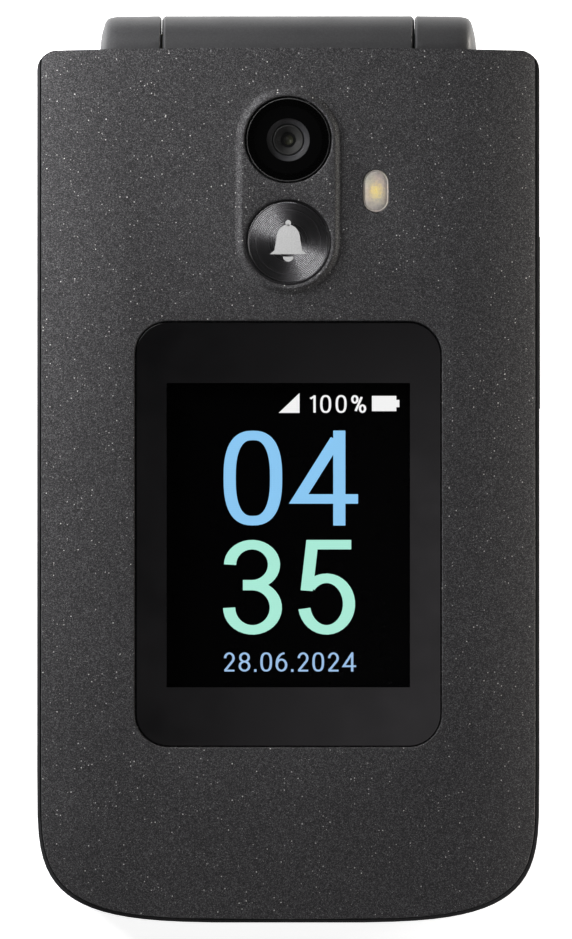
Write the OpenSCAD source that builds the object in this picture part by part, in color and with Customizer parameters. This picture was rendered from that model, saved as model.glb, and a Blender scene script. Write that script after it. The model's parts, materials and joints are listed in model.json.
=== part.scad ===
// Clamshell mobile phone, closed, lying on its back: X across, Y from the free end to the hinge,
// Z up through the lid. The origin is the middle of the footprint, on the surface it lies on.

/* [Body] */
// Width of lid and base
phone_w = 57.9; // [54:0.1:64]
// Length of lid and base from the free end to the hinge axis
body_len = 100.8; // [96:0.2:112]
// Thickness of the base half
base_t = 10.2; // [9.9:0.1:12]
// Thickness of the lid half
lid_t = 8; // [7.8:0.1:10]
// Gap between the closed halves
close_gap = 0.4; // [0.35:0.05:0.7]
// Length over which the free end rounds in
end_curve_len = 17.5; // [14:0.5:22]
// How square that rounding is
end_curve_n = 4.25; // [3:0.05:5]
// Radius of the corners beside the hinge
hinge_corner_r = 2.2; // [1.2:0.1:3]
// How far the hinge end bows out in its middle
hinge_end_bow = 0.3; // [0:0.05:0.6]

/* [Lid] */
// Height of the painted cover's side
cover_h = 4; // [3.6:0.1:4.6]
// Step from the housing's side in to the cover's side
cover_step = 0.5; // [0.45:0.05:0.6]
// Width of the housing's band that shows round the cover
rim_w = 0.38; // [0.3:0.02:0.4]
// Height of that band beside the cover
rim_h = 0.8; // [0.4:0.1:1.5]
// Thickness of the painted cover's face
cover_face = 1.3; // [1.2:0.05:1.6]
// Thickness of the painted cover's side
cover_wall = 1.2; // [0.9:0.1:1.6]
// Thickness of the inner housing's face
lid_face = 1.3; // [1.2:0.05:1.6]
// Width of the inner housing's rim
lid_wall = 2.7; // [2.6:0.1:3]
// Height of the rim that locates the cover
lid_tongue_h = 1; // [0.5:0.1:1.4]

/* [Base] */
// Thickness of the base's side walls
base_wall = 1.3; // [1:0.1:1.5]
// Height at which front and rear housing meet
base_split = 7.4; // [7.2:0.1:7.6]
// Thickness of the keypad face
keypad_face = 1.2; // [1:0.05:1.4]
// Height of the battery cover's side
door_h = 2.6; // [2.4:0.05:2.7]
// Thickness of the battery cover's floor
door_floor = 1.1; // [0.9:0.05:1.2]
// Length of the fixed strip between the battery cover and the hinge axis
strip_len = 12.5; // [11.5:0.1:15]
// Thickness of the lip inside the battery cover
door_lip = 1.6; // [1.2:0.1:1.8]
// Radius with which the back rounds into the sides
back_round = 2.4; // [1.6:0.1:2.5]

/* [Hinge] */
// Outer radius of the hinge knuckles
knuckle_r = 3.8; // [3.7:0.05:4]
// Length of the lid's middle knuckle
barrel_len = 28.9; // [27:0.1:31]
// Length of each of the base's end knuckles
ear_len = 7.1; // [6.2:0.1:7.6]
// Side gap between the knuckles
knuckle_gap = 0.17; // [0.1:0.01:0.3]
// Outer radius of the spring capsule
capsule_r = 2.9; // [2.8:0.05:3]
// Length of the spring capsule
capsule_len = 11.2; // [10:0.1:12]
// Wall of the spring capsule
capsule_wall = 0.4; // [0.3:0.05:0.5]
// Wire diameter of the hinge spring
spring_wire = 0.6; // [0.4:0.05:0.7]
// Coils of the hinge spring
spring_turns = 6; // [4:1:8]
// Outer radius of the hollow hinge pin
pin_r = 2.3; // [2.1:0.05:2.4]
// Wall of the hollow hinge pin
pin_wall = 0.6; // [0.4:0.05:0.8]
// Length of hinge pin inside each knuckle
pin_grip = 4; // [3:0.1:5]
// Width across the flats of the cam shaft's square head
cam_head = 3.4; // [3:0.1:3.8]
// Radius of the cam shaft
cam_shaft_r = 0.9; // [0.7:0.05:1]

/* [Outer display] */
// Width of the outer lens
lens_w = 35.2; // [33:0.1:37]
// Length of the outer lens
lens_len = 48.9; // [46:0.1:51]
// Corner radius of the outer lens
lens_r = 3.8; // [2.5:0.1:5]
// Thickness of the outer lens
lens_t = 0.8; // [0.6:0.05:0.85]
// Middle of the outer lens, from the hinge axis
lens_from_hinge = 56; // [54:0.1:58]
// Width of the outer display's picture
view_w = 28.03; // [26:0.01:30]
// Length of the outer display's picture
view_len = 35.04; // [33:0.01:37]
// Frame of the outer display module round its picture
view_frame = 2.9; // [2.6:0.1:3.2]
// Thickness of the outer display module
view_t = 1.6; // [1.2:0.1:1.8]

/* [Camera, key and flash] */
// Middle of the camera, from the hinge axis
camera_from_hinge = 10.6; // [10.2:0.1:11]
// Radius of the camera's cover glass
camera_glass_r = 4.85; // [4.6:0.05:4.95]
// Thickness of the camera's cover glass
camera_glass_t = 0.7; // [0.5:0.05:0.8]
// Distance from the camera to the shortcut key
key_from_camera = 11.8; // [11.4:0.1:12.4]
// Radius of the shortcut key
shortcut_r = 4.75; // [4.5:0.05:4.9]
// Travel of the shortcut key
shortcut_travel = 0.3; // [0.2:0.05:0.35]
// Half the width of the raised surround of camera and key
plinth_r = 5.85; // [5.7:0.05:6.2]
// Length of the raised surround
plinth_len = 23.5; // [22.8:0.05:24]
// Height of the raised surround
plinth_h = 0.45; // [0.3:0.05:0.6]
// Width of the camera module
camera_w = 8.4; // [7.8:0.1:8.6]
// Distance from the phone's middle to the flash
flash_x = 10.1; // [9.6:0.1:12]
// Middle of the flash, from the hinge axis
flash_from_hinge = 16.5; // [15:0.1:18]
// Width of the flash window
flash_w = 2.96; // [2.4:0.01:3.2]
// Length of the flash window
flash_len = 4.9; // [4.2:0.1:5.4]

/* [Main display] */
// Width of the main display's picture
main_view_w = 43.2; // [41:0.1:44]
// Length of the main lens that its picture leaves black
main_view_margin = 26.4; // [25:0.1:30]
// Thickness of the main display module
main_view_t = 2; // [1.6:0.1:2.1]
// Width of the main lens
main_lens_w = 50.4; // [49:0.1:51]
// Length of the lid's inner face that the main lens leaves free
main_lens_margin = 16.8; // [16:0.1:20]
// Corner radius of the main lens
main_lens_r = 6; // [4:0.1:8]
// Thickness of the main lens
main_lens_t = 0.72; // [0.5:0.02:0.75]
// Length of the earpiece slot
earpiece_len = 10; // [8:0.1:12]

/* [Keypad] */
// Column pitch of the number keys
key_pitch_x = 17; // [16.6:0.1:17.2]
// Row pitch of the number keys
key_pitch_y = 10; // [9.7:0.1:10.1]
// Width of a number key
key_w = 15.4; // [14.4:0.1:15.5]
// Length of a number key
key_len = 8.4; // [7.6:0.1:8.5]
// Corner radius of a number key
key_r = 2.2; // [1:0.1:3]
// Travel of every keypad key
key_travel = 0.3; // [0.2:0.05:0.3]
// Width of the navigation ring
ring_w = 25; // [23:0.1:25.4]
// Length of the navigation ring
ring_len = 23; // [21:0.1:23.4]
// Corner radius of the navigation ring
ring_r = 8; // [5:0.1:10]
// Radius of the select key inside the ring
select_r = 5.1; // [4.5:0.1:5.3]
// Width of a soft key
soft_w = 10.6; // [10:0.1:11]
// Length of a soft key
soft_len = 21; // [16:0.1:22]

/* [Battery and ports] */
// Width of the battery
battery_w = 38; // [34:0.5:40]
// Length of the base that the battery leaves for ports, boards and loudspeaker
battery_margin = 46.8; // [45:0.2:52]
// Thickness of the battery
battery_t = 4.6; // [4:0.1:4.7]
// Radius of the headset socket's bore
jack_r = 1.8; // [1.78:0.01:1.85]
// Depth of the headset socket's bore
jack_depth = 13.2; // [12.5:0.1:14]
// Distance from the phone's middle to the headset socket
jack_x = 14; // [12:0.1:15]
// Width of the charging port's opening
port_w = 8.34; // [8.3:0.01:8.5]
// Height of the charging port's opening
port_h = 2.56; // [2.5:0.01:2.6]
// Length of the volume rocker
rocker_len = 20.7; // [17:0.1:22]
// Height of the volume rocker
rocker_h = 2.4; // [2:0.1:2.5]
// How far the volume rocker stands out of the side
rocker_out = 0.2; // [0.1:0.05:0.6]
// Middle of the volume rocker, from the hinge axis
rocker_from_hinge = 31.6; // [29:0.1:34]

/* [Clearances] */
// Gap round a lens or window in its seat
seat_gap = 0.1; // [0.05:0.01:0.15]
// Gap round a moving key in its opening
key_gap = 0.15; // [0.1:0.01:0.2]
// Gap round the shortcut key in its opening
shortcut_gap = 0.2; // [0.2:0.01:0.35]
// Running gap of the hinge pin and cam in their bores
run_gap = 0.05; // [0.02:0.01:0.08]
// Gap between the knuckles and the halves they turn in
swing_gap = 0.25; // [0.2:0.01:0.35]
// Gap of a part held in its seat
hold_gap = 0.03; // [0.02:0.01:0.05]
// Gap between the sliding battery cover and the housing
door_gap = 0.15; // [0.1:0.01:0.2]

/* [Hidden] */
$fn = 48;

// Heights
lid_z = base_t + close_gap;
lid_top = lid_z + lid_t;
lid_split = lid_top - cover_h;
cover_under = lid_top - cover_face;
lid_floor = lid_z + lid_face;
hinge_z = base_t + close_gap / 2;
face_under = base_t - keypad_face;
plinth_top = lid_top + plinth_h;

// Lengths
main_lens_len = body_len - main_lens_margin;
main_view_len = main_lens_len - main_view_margin;
battery_len = body_len - battery_margin;
hinge_y = (body_len - knuckle_r) / 2;
free_y = hinge_y - body_len;
camera_y = hinge_y - camera_from_hinge;
shortcut_y = camera_y - key_from_camera;
lens_y = hinge_y - lens_from_hinge;
flash_y = hinge_y - flash_from_hinge;
rocker_y = hinge_y - rocker_from_hinge;
door_y = hinge_y - strip_len;
side_x = phone_w / 2;

// Small features
end_steps = 20;
corner_steps = 6;
bow_steps = 3;
arc_steps = 5;
least_r = 0.3;
edge_break = 0.5;
through = 0.5;
chamfer = 0.25;

// ---- Outline shared by both halves ----

function quarter(t) = pow(t, 2 / end_curve_n);

// Right half of the outline, from the middle of the free end to the middle of the hinge end
function half_outline(inset, end_inset) =
    let (
        a = side_x - inset,
        b = end_curve_len - inset,
        y0 = free_y + inset + b,
        r = max(hinge_corner_r - inset, least_r),
        x1 = a - r,
        y1 = hinge_y - end_inset
    )
    concat(
        [for (i = [0:end_steps]) let (t = 90 - 90 * i / end_steps)
            [a * quarter(cos(t)), y0 - b * quarter(sin(t))]],
        [for (i = [0:corner_steps]) let (t = 90 * i / corner_steps)
            [x1 + r * cos(t), y1 - hinge_end_bow - r + r * sin(t)]],
        [for (i = [1:bow_steps]) let (x = x1 * (1 - i / bow_steps))
            [x, y1 - hinge_end_bow * pow(x / x1, 2)]]
    );

function outline(inset, end_inset) =
    let (h = half_outline(inset, end_inset), n = len(h))
    concat(h, [for (i = [n - 2:-1:1]) [-h[i][0], h[i][1]]]);

// Straight-sided slice of the outline
module slice(inset, end_inset, z0, z1) {
    translate([0, 0, z0]) linear_extrude(z1 - z0) polygon(outline(inset, end_inset));
}

// Closed skin through rings of [inset, inset at the hinge end, height], lowest first
module skin(rings) {
    n = len(outline(0, 0));
    m = len(rings);
    points = [for (r = rings) for (p = outline(r[0], r[1])) [p[0], p[1], r[2]]];
    sides = [for (j = [0:m - 2], i = [0:n - 1])
        let (k = (i + 1) % n, p = j * n + i, q = j * n + k)
        each [[p, p + n, q + n], [p, q + n, q]]];
    caps = [[for (i = [0:n - 1]) i], [for (i = [n - 1:-1:0]) (m - 1) * n + i]];
    polyhedron(points, concat(sides, caps), convexity = 6);
}

// ---- Small shapes ----

function rounded(w, l, r) =
    [for (c = [[1, 1, 0], [-1, 1, 90], [-1, -1, 180], [1, -1, 270]], i = [0:arc_steps])
        let (t = c[2] + 90 * i / arc_steps)
        [c[0] * (w / 2 - r) + r * cos(t), c[1] * (l / 2 - r) + r * sin(t)]];

module pad(w, l, r, z0, z1) {
    translate([0, 0, z0]) linear_extrude(z1 - z0) polygon(rounded(w, l, r));
}

module block(x0, x1, y0, y1, z0, z1) {
    translate([x0, y0, z0]) cube([x1 - x0, y1 - y0, z1 - z0]);
}

module disc(r, z0, z1) {
    translate([0, 0, z0]) cylinder(h = z1 - z0, r = r);
}

// Round bar on the hinge axis
module axle(r, x0, x1) {
    translate([x0, hinge_y, hinge_z]) rotate([0, 90, 0]) cylinder(h = x1 - x0, r = r);
}

// Shape turned round the hinge axis from points of [distance along it, radius]
module turned_on_hinge(points) {
    translate([0, hinge_y, hinge_z]) rotate([0, 90, 0])
        rotate_extrude() polygon([for (p = points) [p[1], p[0]]]);
}

module both_sides() {
    children();
    mirror([1, 0, 0]) children();
}

// ---- Screws ----

screw_r = 0.7;
screw_head_r = 1.25;
screw_head_h = 0.6;
screw_hole_r = screw_r + hold_gap;
boss_r = 1.9;
lid_screw_at = [side_x - 6.8, hinge_y - 8];
lid_screw_z = lid_z + 0.5;
lid_screw_len = 3.3;
base_screw_at = [[side_x - 8.3, free_y + 4.1], [side_x - 5.8, hinge_y - 8.8]];
base_screw_z = 3.2;
base_screw_len = face_under - base_screw_z - screw_head_h - 0.4;
cap_r = 1.65;

// Screw standing on its head, with a cross recess in it
module screw(z, length) {
    slot_w = 0.28;
    slot_len = 1.3;
    slot_depth = 0.35;
    difference() {
        union() {
            disc(screw_head_r, z, z + screw_head_h);
            disc(screw_r, z + screw_head_h, z + screw_head_h + length);
        }
        for (a = [0, 90]) rotate([0, 0, a])
            block(-slot_len / 2, slot_len / 2, -slot_w / 2, slot_w / 2, z - through, z + slot_depth);
    }
}

module at_lid_screws() {
    both_sides() translate([lid_screw_at[0], lid_screw_at[1], 0]) children();
}

module at_base_screws() {
    both_sides() for (p = base_screw_at) translate([p[0], p[1], 0]) children();
}

module lid_screws() {
    color("silver") at_lid_screws() screw(lid_screw_z, lid_screw_len);
}

module base_screws() {
    color("silver") at_base_screws() screw(base_screw_z, base_screw_len);
}

// ---- Lid: painted outer cover ----

cover_in = cover_step + cover_wall;
main_display_z = lid_floor + 0.05;
main_display_top = main_display_z + main_view_t;
window_ledge = 1.65;
glass_seat_r = camera_glass_r + seat_gap + 0.08;
glass_z = plinth_top - 0.2 - camera_glass_t;
camera_bore_r = 3.9;
lens_seat_z = lid_top - lens_t - 0.03;
post_z = lid_floor + 0.8;

// How the cover's face falls away towards its edge: [inset from its side, drop]
cover_edge = [[0, 1.5], [0.12, 0.95], [0.45, 0.55], [1.1, 0.28], [2.4, 0.12], [5, 0.03], [7.5, 0]];

// Raised surround of camera and key, with a sloping edge
module plinth() {
    slope = 0.35;
    foot = lid_top - 0.6;
    top_r = plinth_r - slope;
    straight = plinth_len - 2 * plinth_r;
    translate([0, (camera_y + shortcut_y) / 2, 0]) {
        for (s = [-1, 1]) translate([0, s * straight / 2, 0]) {
            translate([0, 0, lid_top]) cylinder(h = plinth_h, r1 = plinth_r, r2 = top_r);
            disc(plinth_r, foot, lid_top);
        }
        translate([0, straight / 2, 0]) rotate([90, 0, 0]) linear_extrude(straight)
            polygon([[-plinth_r, foot], [plinth_r, foot], [plinth_r, lid_top],
                     [top_r, plinth_top], [-top_r, plinth_top], [-plinth_r, lid_top]]);
    }
}

module lid_outer_cover() {
    color("dimgray") difference() {
        union() {
            difference() {
                skin(concat([[cover_step, 0, lid_split]],
                    [for (e = cover_edge) [cover_step + e[0], e[0], lid_top - e[1]]]));
                slice(cover_in, cover_wall, lid_split - through, cover_under);
            }
            plinth();
            at_lid_screws() disc(boss_r, post_z, cover_under + through);
        }
        // Seat and window of the outer display
        translate([0, lens_y, 0]) {
            pad(lens_w + 2 * seat_gap, lens_len + 2 * seat_gap, lens_r + seat_gap,
                lens_seat_z, lid_top + through);
            pad(lens_w - 2 * window_ledge, lens_len - 2 * window_ledge, lens_r - window_ledge,
                cover_under - through, lid_top);
        }
        // Seat of the camera glass, and the bore under it
        translate([0, camera_y, 0]) {
            disc(glass_seat_r, glass_z, plinth_top + through);
            disc(camera_bore_r, cover_under - through, glass_z + through);
        }
        translate([0, shortcut_y, 0])
            disc(shortcut_r + shortcut_gap, cover_under - through, plinth_top + through);
        translate([flash_x, flash_y, 0])
            pad(flash_w + seat_gap, flash_len + seat_gap, (flash_w + seat_gap) / 2,
                cover_under - through, plinth_top);
        at_lid_screws() disc(screw_hole_r, post_z - through, cover_under - 0.4);
    }
}

module outer_display_lens() {
    color("black") translate([0, lens_y, 0])
        pad(lens_w, lens_len, lens_r, lens_seat_z, lens_seat_z + lens_t);
}

module outer_display_module() {
    view_z = cover_under - hold_gap;
    rim = 0.3;
    color("darkslategray") translate([0, lens_y, 0]) difference() {
        pad(view_w + 2 * view_frame, view_len + 3 * view_frame, 1, view_z - view_t, view_z);
        pad(view_w, view_len, least_r, view_z - rim, view_z + through);
    }
}

module camera_lens_cover() {
    color("black") translate([0, camera_y, 0]) difference() {
        disc(camera_glass_r, glass_z, glass_z + camera_glass_t);
        disc(camera_glass_r - 2.4, glass_z - through, glass_z + 0.15);
    }
}

camera_z = main_display_top + 0.1;
camera_body_top = cover_under - 0.3;
camera_barrel_r = camera_bore_r - 0.7;
camera_barrel_top = glass_z - 0.25;

module camera_module() {
    funnel_h = 0.9;
    pupil_r = 1;
    color("dimgray") translate([0, camera_y, 0]) difference() {
        union() {
            pad(camera_w, camera_w, 0.6, camera_z, camera_body_top);
            disc(camera_barrel_r, camera_body_top, camera_barrel_top);
        }
        translate([0, 0, camera_barrel_top - funnel_h])
            cylinder(h = funnel_h, r1 = pupil_r, r2 = 1.9);
        disc(1.9, camera_barrel_top, camera_barrel_top + through);
        disc(pupil_r, camera_barrel_top - 2 * funnel_h, camera_barrel_top);
    }
}

module flash_lens() {
    flange = 0.6;
    flange_h = 0.4;
    top = lid_top - 0.05;
    under = cover_under - hold_gap;
    color("lightgray") translate([flash_x, flash_y, 0]) {
        pad(flash_w, flash_len, flash_w / 2, under - flange_h, top);
        pad(flash_w + 2 * flange, flash_len + 2 * flange, flash_w / 2 + flange, under - flange_h, under);
    }
}

board_t = 0.7;
lid_board_z = cover_under - 2.9;
lid_board_top = lid_board_z + board_t;

module flash_led() {
    led = 2;
    led_h = 0.7;
    color("gold") translate([flash_x, flash_y, 0]) pad(led, led, 0.2, lid_board_top, lid_board_top + led_h);
}

// ---- Lid: shortcut key and its board ----

switch_h = 0.4;
stem_r = 1.2;
flange_w = 0.65;
shortcut_flange_h = 0.5;
shortcut_flange_top = cover_under - seat_gap;

module shortcut_key() {
    top = plinth_top - 0.12;
    rim = 0.3;
    dish = 0.08;
    under = shortcut_flange_top - shortcut_flange_h;
    color("black") translate([0, shortcut_y, 0]) rotate_extrude() polygon([
        [0, lid_board_top + switch_h + shortcut_travel + 0.05],
        [stem_r, lid_board_top + switch_h + shortcut_travel + 0.05],
        [stem_r, under],
        [shortcut_r + flange_w, under],
        [shortcut_r + flange_w, shortcut_flange_top],
        [shortcut_r, shortcut_flange_top],
        [shortcut_r, top - chamfer],
        [shortcut_r - chamfer, top],
        [shortcut_r - rim - chamfer, top],
        [shortcut_r - rim - chamfer - dish, top - dish],
        [0, top - dish]
    ]);
}

module shortcut_key_switch() {
    dome_r = 2.6;
    nub_r = 1.3;
    nub_h = 0.1;
    color("silver") translate([0, shortcut_y, 0]) {
        translate([0, 0, lid_board_top]) cylinder(h = switch_h - nub_h, r1 = dome_r, r2 = nub_r + 0.6);
        disc(nub_r, lid_board_top + switch_h - nub_h, lid_board_top + switch_h);
    }
}

lid_board_y0 = shortcut_y - 8;
lid_board_y1 = hinge_y - 6.1;
lid_board_x = side_x - lid_wall - 0.3;
ledge_w = 1.2;

module lid_circuit_board() {
    corner = 1.5;
    color("darkgreen") difference() {
        translate([0, (lid_board_y0 + lid_board_y1) / 2, 0])
            pad(2 * lid_board_x, lid_board_y1 - lid_board_y0, corner, lid_board_z, lid_board_top);
        translate([0, camera_y, 0])
            pad(camera_w + 1, camera_w + 1, least_r, lid_board_z - through, lid_board_top + through);
        at_lid_screws() disc(boss_r + 0.3, lid_board_z - through, lid_board_top + through);
    }
}

// ---- Lid: inner housing with the middle knuckle ----

barrel_x = barrel_len / 2;
ear_x0 = barrel_x + knuckle_gap;
ear_x1 = ear_x0 + ear_len;
knuckle_block = knuckle_r + 1.6;
flex_w = 4.5;
flex_t = 0.25;
flex_x0 = 4.8;
flex_roll_r = 1.3;
flex_room_r = pin_r + 0.3;
flex_duct_y = hinge_y - 3.1;
capsule_x0 = -barrel_x + 0.1;
capsule_x1 = capsule_x0 + capsule_len;
pin_x0 = barrel_x - pin_grip;
pin_x1 = ear_x0 + pin_grip + 1;
main_lens_y = free_y + 4.5 + main_lens_len / 2;
main_lens_z = lid_z + 0.05;
main_seat_z = main_lens_z + main_lens_t;
main_view_y = main_lens_y + 2.4;
earpiece_y = free_y + 7.6;
earpiece_w = 1.8;
bumper_len = 6;
bumper_w = 1.5;
bumper_at = [12, free_y + 2.2];
bumper_seat = 0.4;

thrust_r = knuckle_r - 0.4;
thrust_h = knuckle_gap - run_gap;

module lid_inner_housing() {
    tongue_in = cover_in + seat_gap;
    color("dimgray") difference() {
        union() {
            // Tray
            difference() {
                skin([[edge_break, edge_break, lid_z], [0.15, 0.15, lid_z + 0.2],
                      [0, 0, lid_z + edge_break], [0, 0, lid_split]]);
                slice(lid_wall, lid_wall, lid_floor, lid_split + through);
            }
            // Band outside the cover, which ends at the corners beside the hinge
            difference() {
                slice(0, 0, lid_split - through, lid_split + rim_h);
                slice(rim_w, -1, lid_split - 2 * through, lid_split + rim_h + through);
            }
            // Rim inside the cover
            difference() {
                slice(tongue_in, cover_wall + seat_gap, lid_split - through, lid_split + lid_tongue_h);
                slice(lid_wall, lid_wall, lid_split - 2 * through, lid_split + lid_tongue_h + through);
            }
            // Solid end that carries the knuckle
            intersection() {
                slice(through, 0, lid_z, lid_split);
                block(-side_x, side_x, hinge_y - knuckle_block, hinge_y + 1, lid_z + edge_break, lid_split);
            }
            turned_on_hinge([[-barrel_x, 0], [-barrel_x, knuckle_r - chamfer],
                [-barrel_x + chamfer, knuckle_r], [barrel_x - chamfer, knuckle_r],
                [barrel_x, knuckle_r - chamfer], [barrel_x, 0]]);
            // Raised faces that bear on the end knuckles
            axle(thrust_r, -barrel_x - thrust_h, barrel_x + thrust_h);
            at_lid_screws() disc(boss_r, lid_z + edge_break, post_z - seat_gap);
            // Ledges under the board
            both_sides() block(side_x - lid_wall - ledge_w, side_x - lid_wall + through,
                shortcut_y - 4, shortcut_y + 6, lid_floor - through, lid_board_z - hold_gap);
        }
        // Spaces that the base's knuckles turn in
        both_sides() difference() {
            axle(knuckle_r + swing_gap, barrel_x, ear_x1 + swing_gap);
            axle(thrust_r, barrel_x - through, barrel_x + thrust_h);
        }
        // Bores of the middle knuckle
        axle(capsule_r + hold_gap, -barrel_x - through, capsule_x1 + 0.2);
        axle(flex_room_r, capsule_x1 + 0.8, pin_x0 - 0.2);
        axle(pin_r + run_gap, pin_x0 - through, barrel_x + through);
        block(flex_x0 - 0.3, flex_x0 + flex_w + 0.3, flex_duct_y - 0.4, flex_duct_y + 1.5,
            hinge_z + 0.5, lid_split + through);
        // Seat and window of the main display
        translate([0, main_lens_y, 0])
            pad(main_lens_w + 2 * seat_gap, main_lens_len + 2 * seat_gap, main_lens_r + seat_gap,
                lid_z - through, main_seat_z);
        translate([0, main_view_y, 0])
            pad(main_view_w + 1.6, main_view_len + 1.6, 1, lid_z, lid_floor + through);
        translate([0, earpiece_y, 0])
            pad(earpiece_len, earpiece_w, earpiece_w / 2, lid_z, lid_floor + through);
        // Screws, with room for their caps
        at_lid_screws() {
            disc(cap_r + hold_gap, lid_z - through, lid_screw_z + screw_head_h);
            disc(screw_hole_r, lid_z, post_z + through);
        }
        // Seats of the free end's bumpers
        both_sides() translate([bumper_at[0], bumper_at[1], 0])
            pad(bumper_len + 2 * hold_gap, bumper_w + 2 * hold_gap, bumper_w / 2 + hold_gap,
                lid_z - through, lid_z + bumper_seat);
    }
}

module main_display_lens() {
    color("black") difference() {
        translate([0, main_lens_y, 0])
            pad(main_lens_w, main_lens_len, main_lens_r, main_lens_z, main_lens_z + main_lens_t - hold_gap);
        translate([0, earpiece_y, 0])
            pad(earpiece_len, earpiece_w, earpiece_w / 2, lid_z - through, lid_floor);
    }
}

module main_display_module() {
    side_frame = 3.2;
    end_frame = 5.6;
    rim = 0.2;
    color("darkslategray") translate([0, main_view_y, 0]) difference() {
        pad(main_view_w + 2 * side_frame, main_view_len + 2 * end_frame, 0.8,
            main_display_z, main_display_top);
        pad(main_view_w, main_view_len, least_r, main_display_z - through, main_display_z + rim);
    }
}

module earpiece_speaker() {
    frame_len = earpiece_len + 2;
    frame_w = earpiece_w + 3.6;
    frame_h = 1.6;
    z0 = lid_floor + seat_gap;
    color("darkgray") translate([0, earpiece_y, 0]) {
        pad(frame_len, frame_w, 1.2, z0, z0 + frame_h);
        pad(frame_len - 3, frame_w - 2, 1, z0, z0 + frame_h + 0.4);
    }
}

module earpiece_mesh() {
    color("gray") translate([0, earpiece_y, 0])
        pad(earpiece_len - 2 * hold_gap, earpiece_w - 2 * hold_gap, earpiece_w / 2 - hold_gap,
            main_lens_z + 0.12, main_seat_z - 0.2);
}

module lid_bumpers() {
    low = lid_z - close_gap + 0.08;
    color("black") {
        both_sides() translate([bumper_at[0], bumper_at[1], 0])
            pad(bumper_len, bumper_w, bumper_w / 2, low, lid_z + bumper_seat - hold_gap);
        at_lid_screws() disc(cap_r, low, lid_screw_z - hold_gap);
    }
}

// ---- Hinge parts ----

cam_x0 = -ear_x0 - pin_grip;
cam_disc_r = capsule_r - capsule_wall - run_gap;
cam_disc_len = 1.8;
cam_face = capsule_x0 + cam_disc_len;
follower_len = 1.8;
follower_x0 = cam_face + 0.25;
follower_x1 = follower_x0 + follower_len;
spring_x0 = follower_x1 + 0.05;
spring_x1 = capsule_x1 - 0.65;
spring_r = (cam_shaft_r + capsule_r - capsule_wall) / 2;

module hinge_spring_case() {
    end_wall = 0.6;
    color("silver") difference() {
        axle(capsule_r, capsule_x0, capsule_x1);
        axle(capsule_r - capsule_wall, capsule_x0 - through, capsule_x1 - end_wall);
    }
}

module hinge_cam_follower() {
    color("goldenrod") difference() {
        axle(cam_disc_r, follower_x0, follower_x1);
        axle(cam_shaft_r + run_gap, follower_x0 - through, follower_x1 + through);
    }
}

// Round-wire spring as one tube that follows a helix along the hinge axis
module hinge_spring() {
    per_turn = 12;
    sides = 6;
    n = spring_turns * per_turn;
    span = spring_x1 - spring_x0 - spring_wire;
    points = [for (i = [0:n], j = [0:sides - 1])
        let (
            turn = 360 * i / per_turn,
            around = 360 * j / sides,
            r = spring_r + spring_wire / 2 * cos(around)
        )
        [spring_x0 + spring_wire / 2 + span * i / n + spring_wire / 2 * sin(around),
         hinge_y + r * cos(turn), hinge_z + r * sin(turn)]];
    walls = [for (i = [0:n - 1], j = [0:sides - 1])
        let (k = (j + 1) % sides, p = i * sides + j, q = i * sides + k)
        each [[p, p + sides, q + sides], [p, q + sides, q]]];
    ends = [[for (j = [0:sides - 1]) j], [for (j = [sides - 1:-1:0]) n * sides + j]];
    color("silver") polyhedron(points, concat(walls, ends), convexity = 8);
}

module hinge_cam_shaft() {
    half_head = cam_head / 2 - hold_gap;
    color("goldenrod") {
        axle(cam_disc_r, capsule_x0 - 0.1, cam_face);
        axle(cam_shaft_r, cam_face - through, spring_x1 - 0.3);
        translate([0, hinge_y, hinge_z])
            block(cam_x0 + hold_gap, capsule_x0, -half_head, half_head, -half_head, half_head);
    }
}

module hinge_pin() {
    color("silver") difference() {
        axle(pin_r, pin_x0, pin_x1);
        axle(pin_r - pin_wall, pin_x0 - through, pin_x1 + through);
    }
}

// Flat cable: a roll on the hinge axis, then a ribbon up through the duct to the lid's board
module hinge_flex() {
    x1 = flex_x0 + flex_w;
    z0 = hinge_z + 0.7;
    plug_y = lid_board_y1 - 1.6;
    ribbon_z = lid_board_top + hold_gap;
    color("orange") {
        axle(flex_roll_r, capsule_x1 + 1.2, pin_x1 - 0.6);
        block(flex_x0, x1, flex_duct_y, hinge_y - 0.5, z0, z0 + flex_t);
        block(flex_x0, x1, flex_duct_y, flex_duct_y + flex_t, z0, ribbon_z + flex_t);
        block(flex_x0, x1, plug_y, flex_duct_y + flex_t, ribbon_z, ribbon_z + flex_t);
    }
}

// ---- Base: front housing with the keypad face and end knuckles ----

key_top = base_t + 0.1;
key_flange = 0.4;
key_flange_h = 0.4;
key_flange_z = face_under - 0.1 - key_flange_h;
board_z = base_split - 0.6;
under_board = board_z - hold_gap;
sheet_top = base_split + 0.1;
membrane_z = key_flange_z - key_travel - 0.3;
membrane_top = key_flange_z - key_travel - 0.05;
row_y = [for (i = [0:3]) free_y + 10.6 + i * key_pitch_y];
function_y = row_y[3] + key_pitch_y - 0.2;
function_len = key_len - 0.6;
ring_y = function_y + function_len / 2 + 2 + ring_len / 2;
soft_x = ring_w / 2 + 1.3 + soft_w / 2;
soft_y = ring_y + (ring_len - soft_len) / 2;
ring_hole_r = select_r + 0.4;

NUMBER_KEYS = ["star", "0", "hash", "7", "8", "9", "4", "5", "6", "1", "2", "3"];
function key_at(i) = [(i % 3 - 1) * key_pitch_x, row_y[floor(i / 3)]];

// Middle, width, length and corner radius of every opening in the keypad face
openings = concat(
    [for (i = [0:11]) [key_at(i), key_w, key_len, key_r]],
    [for (i = [-1:1]) [[i * key_pitch_x, function_y], key_w, function_len, key_r]],
    [[[0, ring_y], ring_w, ring_len, ring_r]],
    [for (s = [-1, 1]) [[s * soft_x, soft_y], soft_w, soft_len, key_r]]
);

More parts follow.
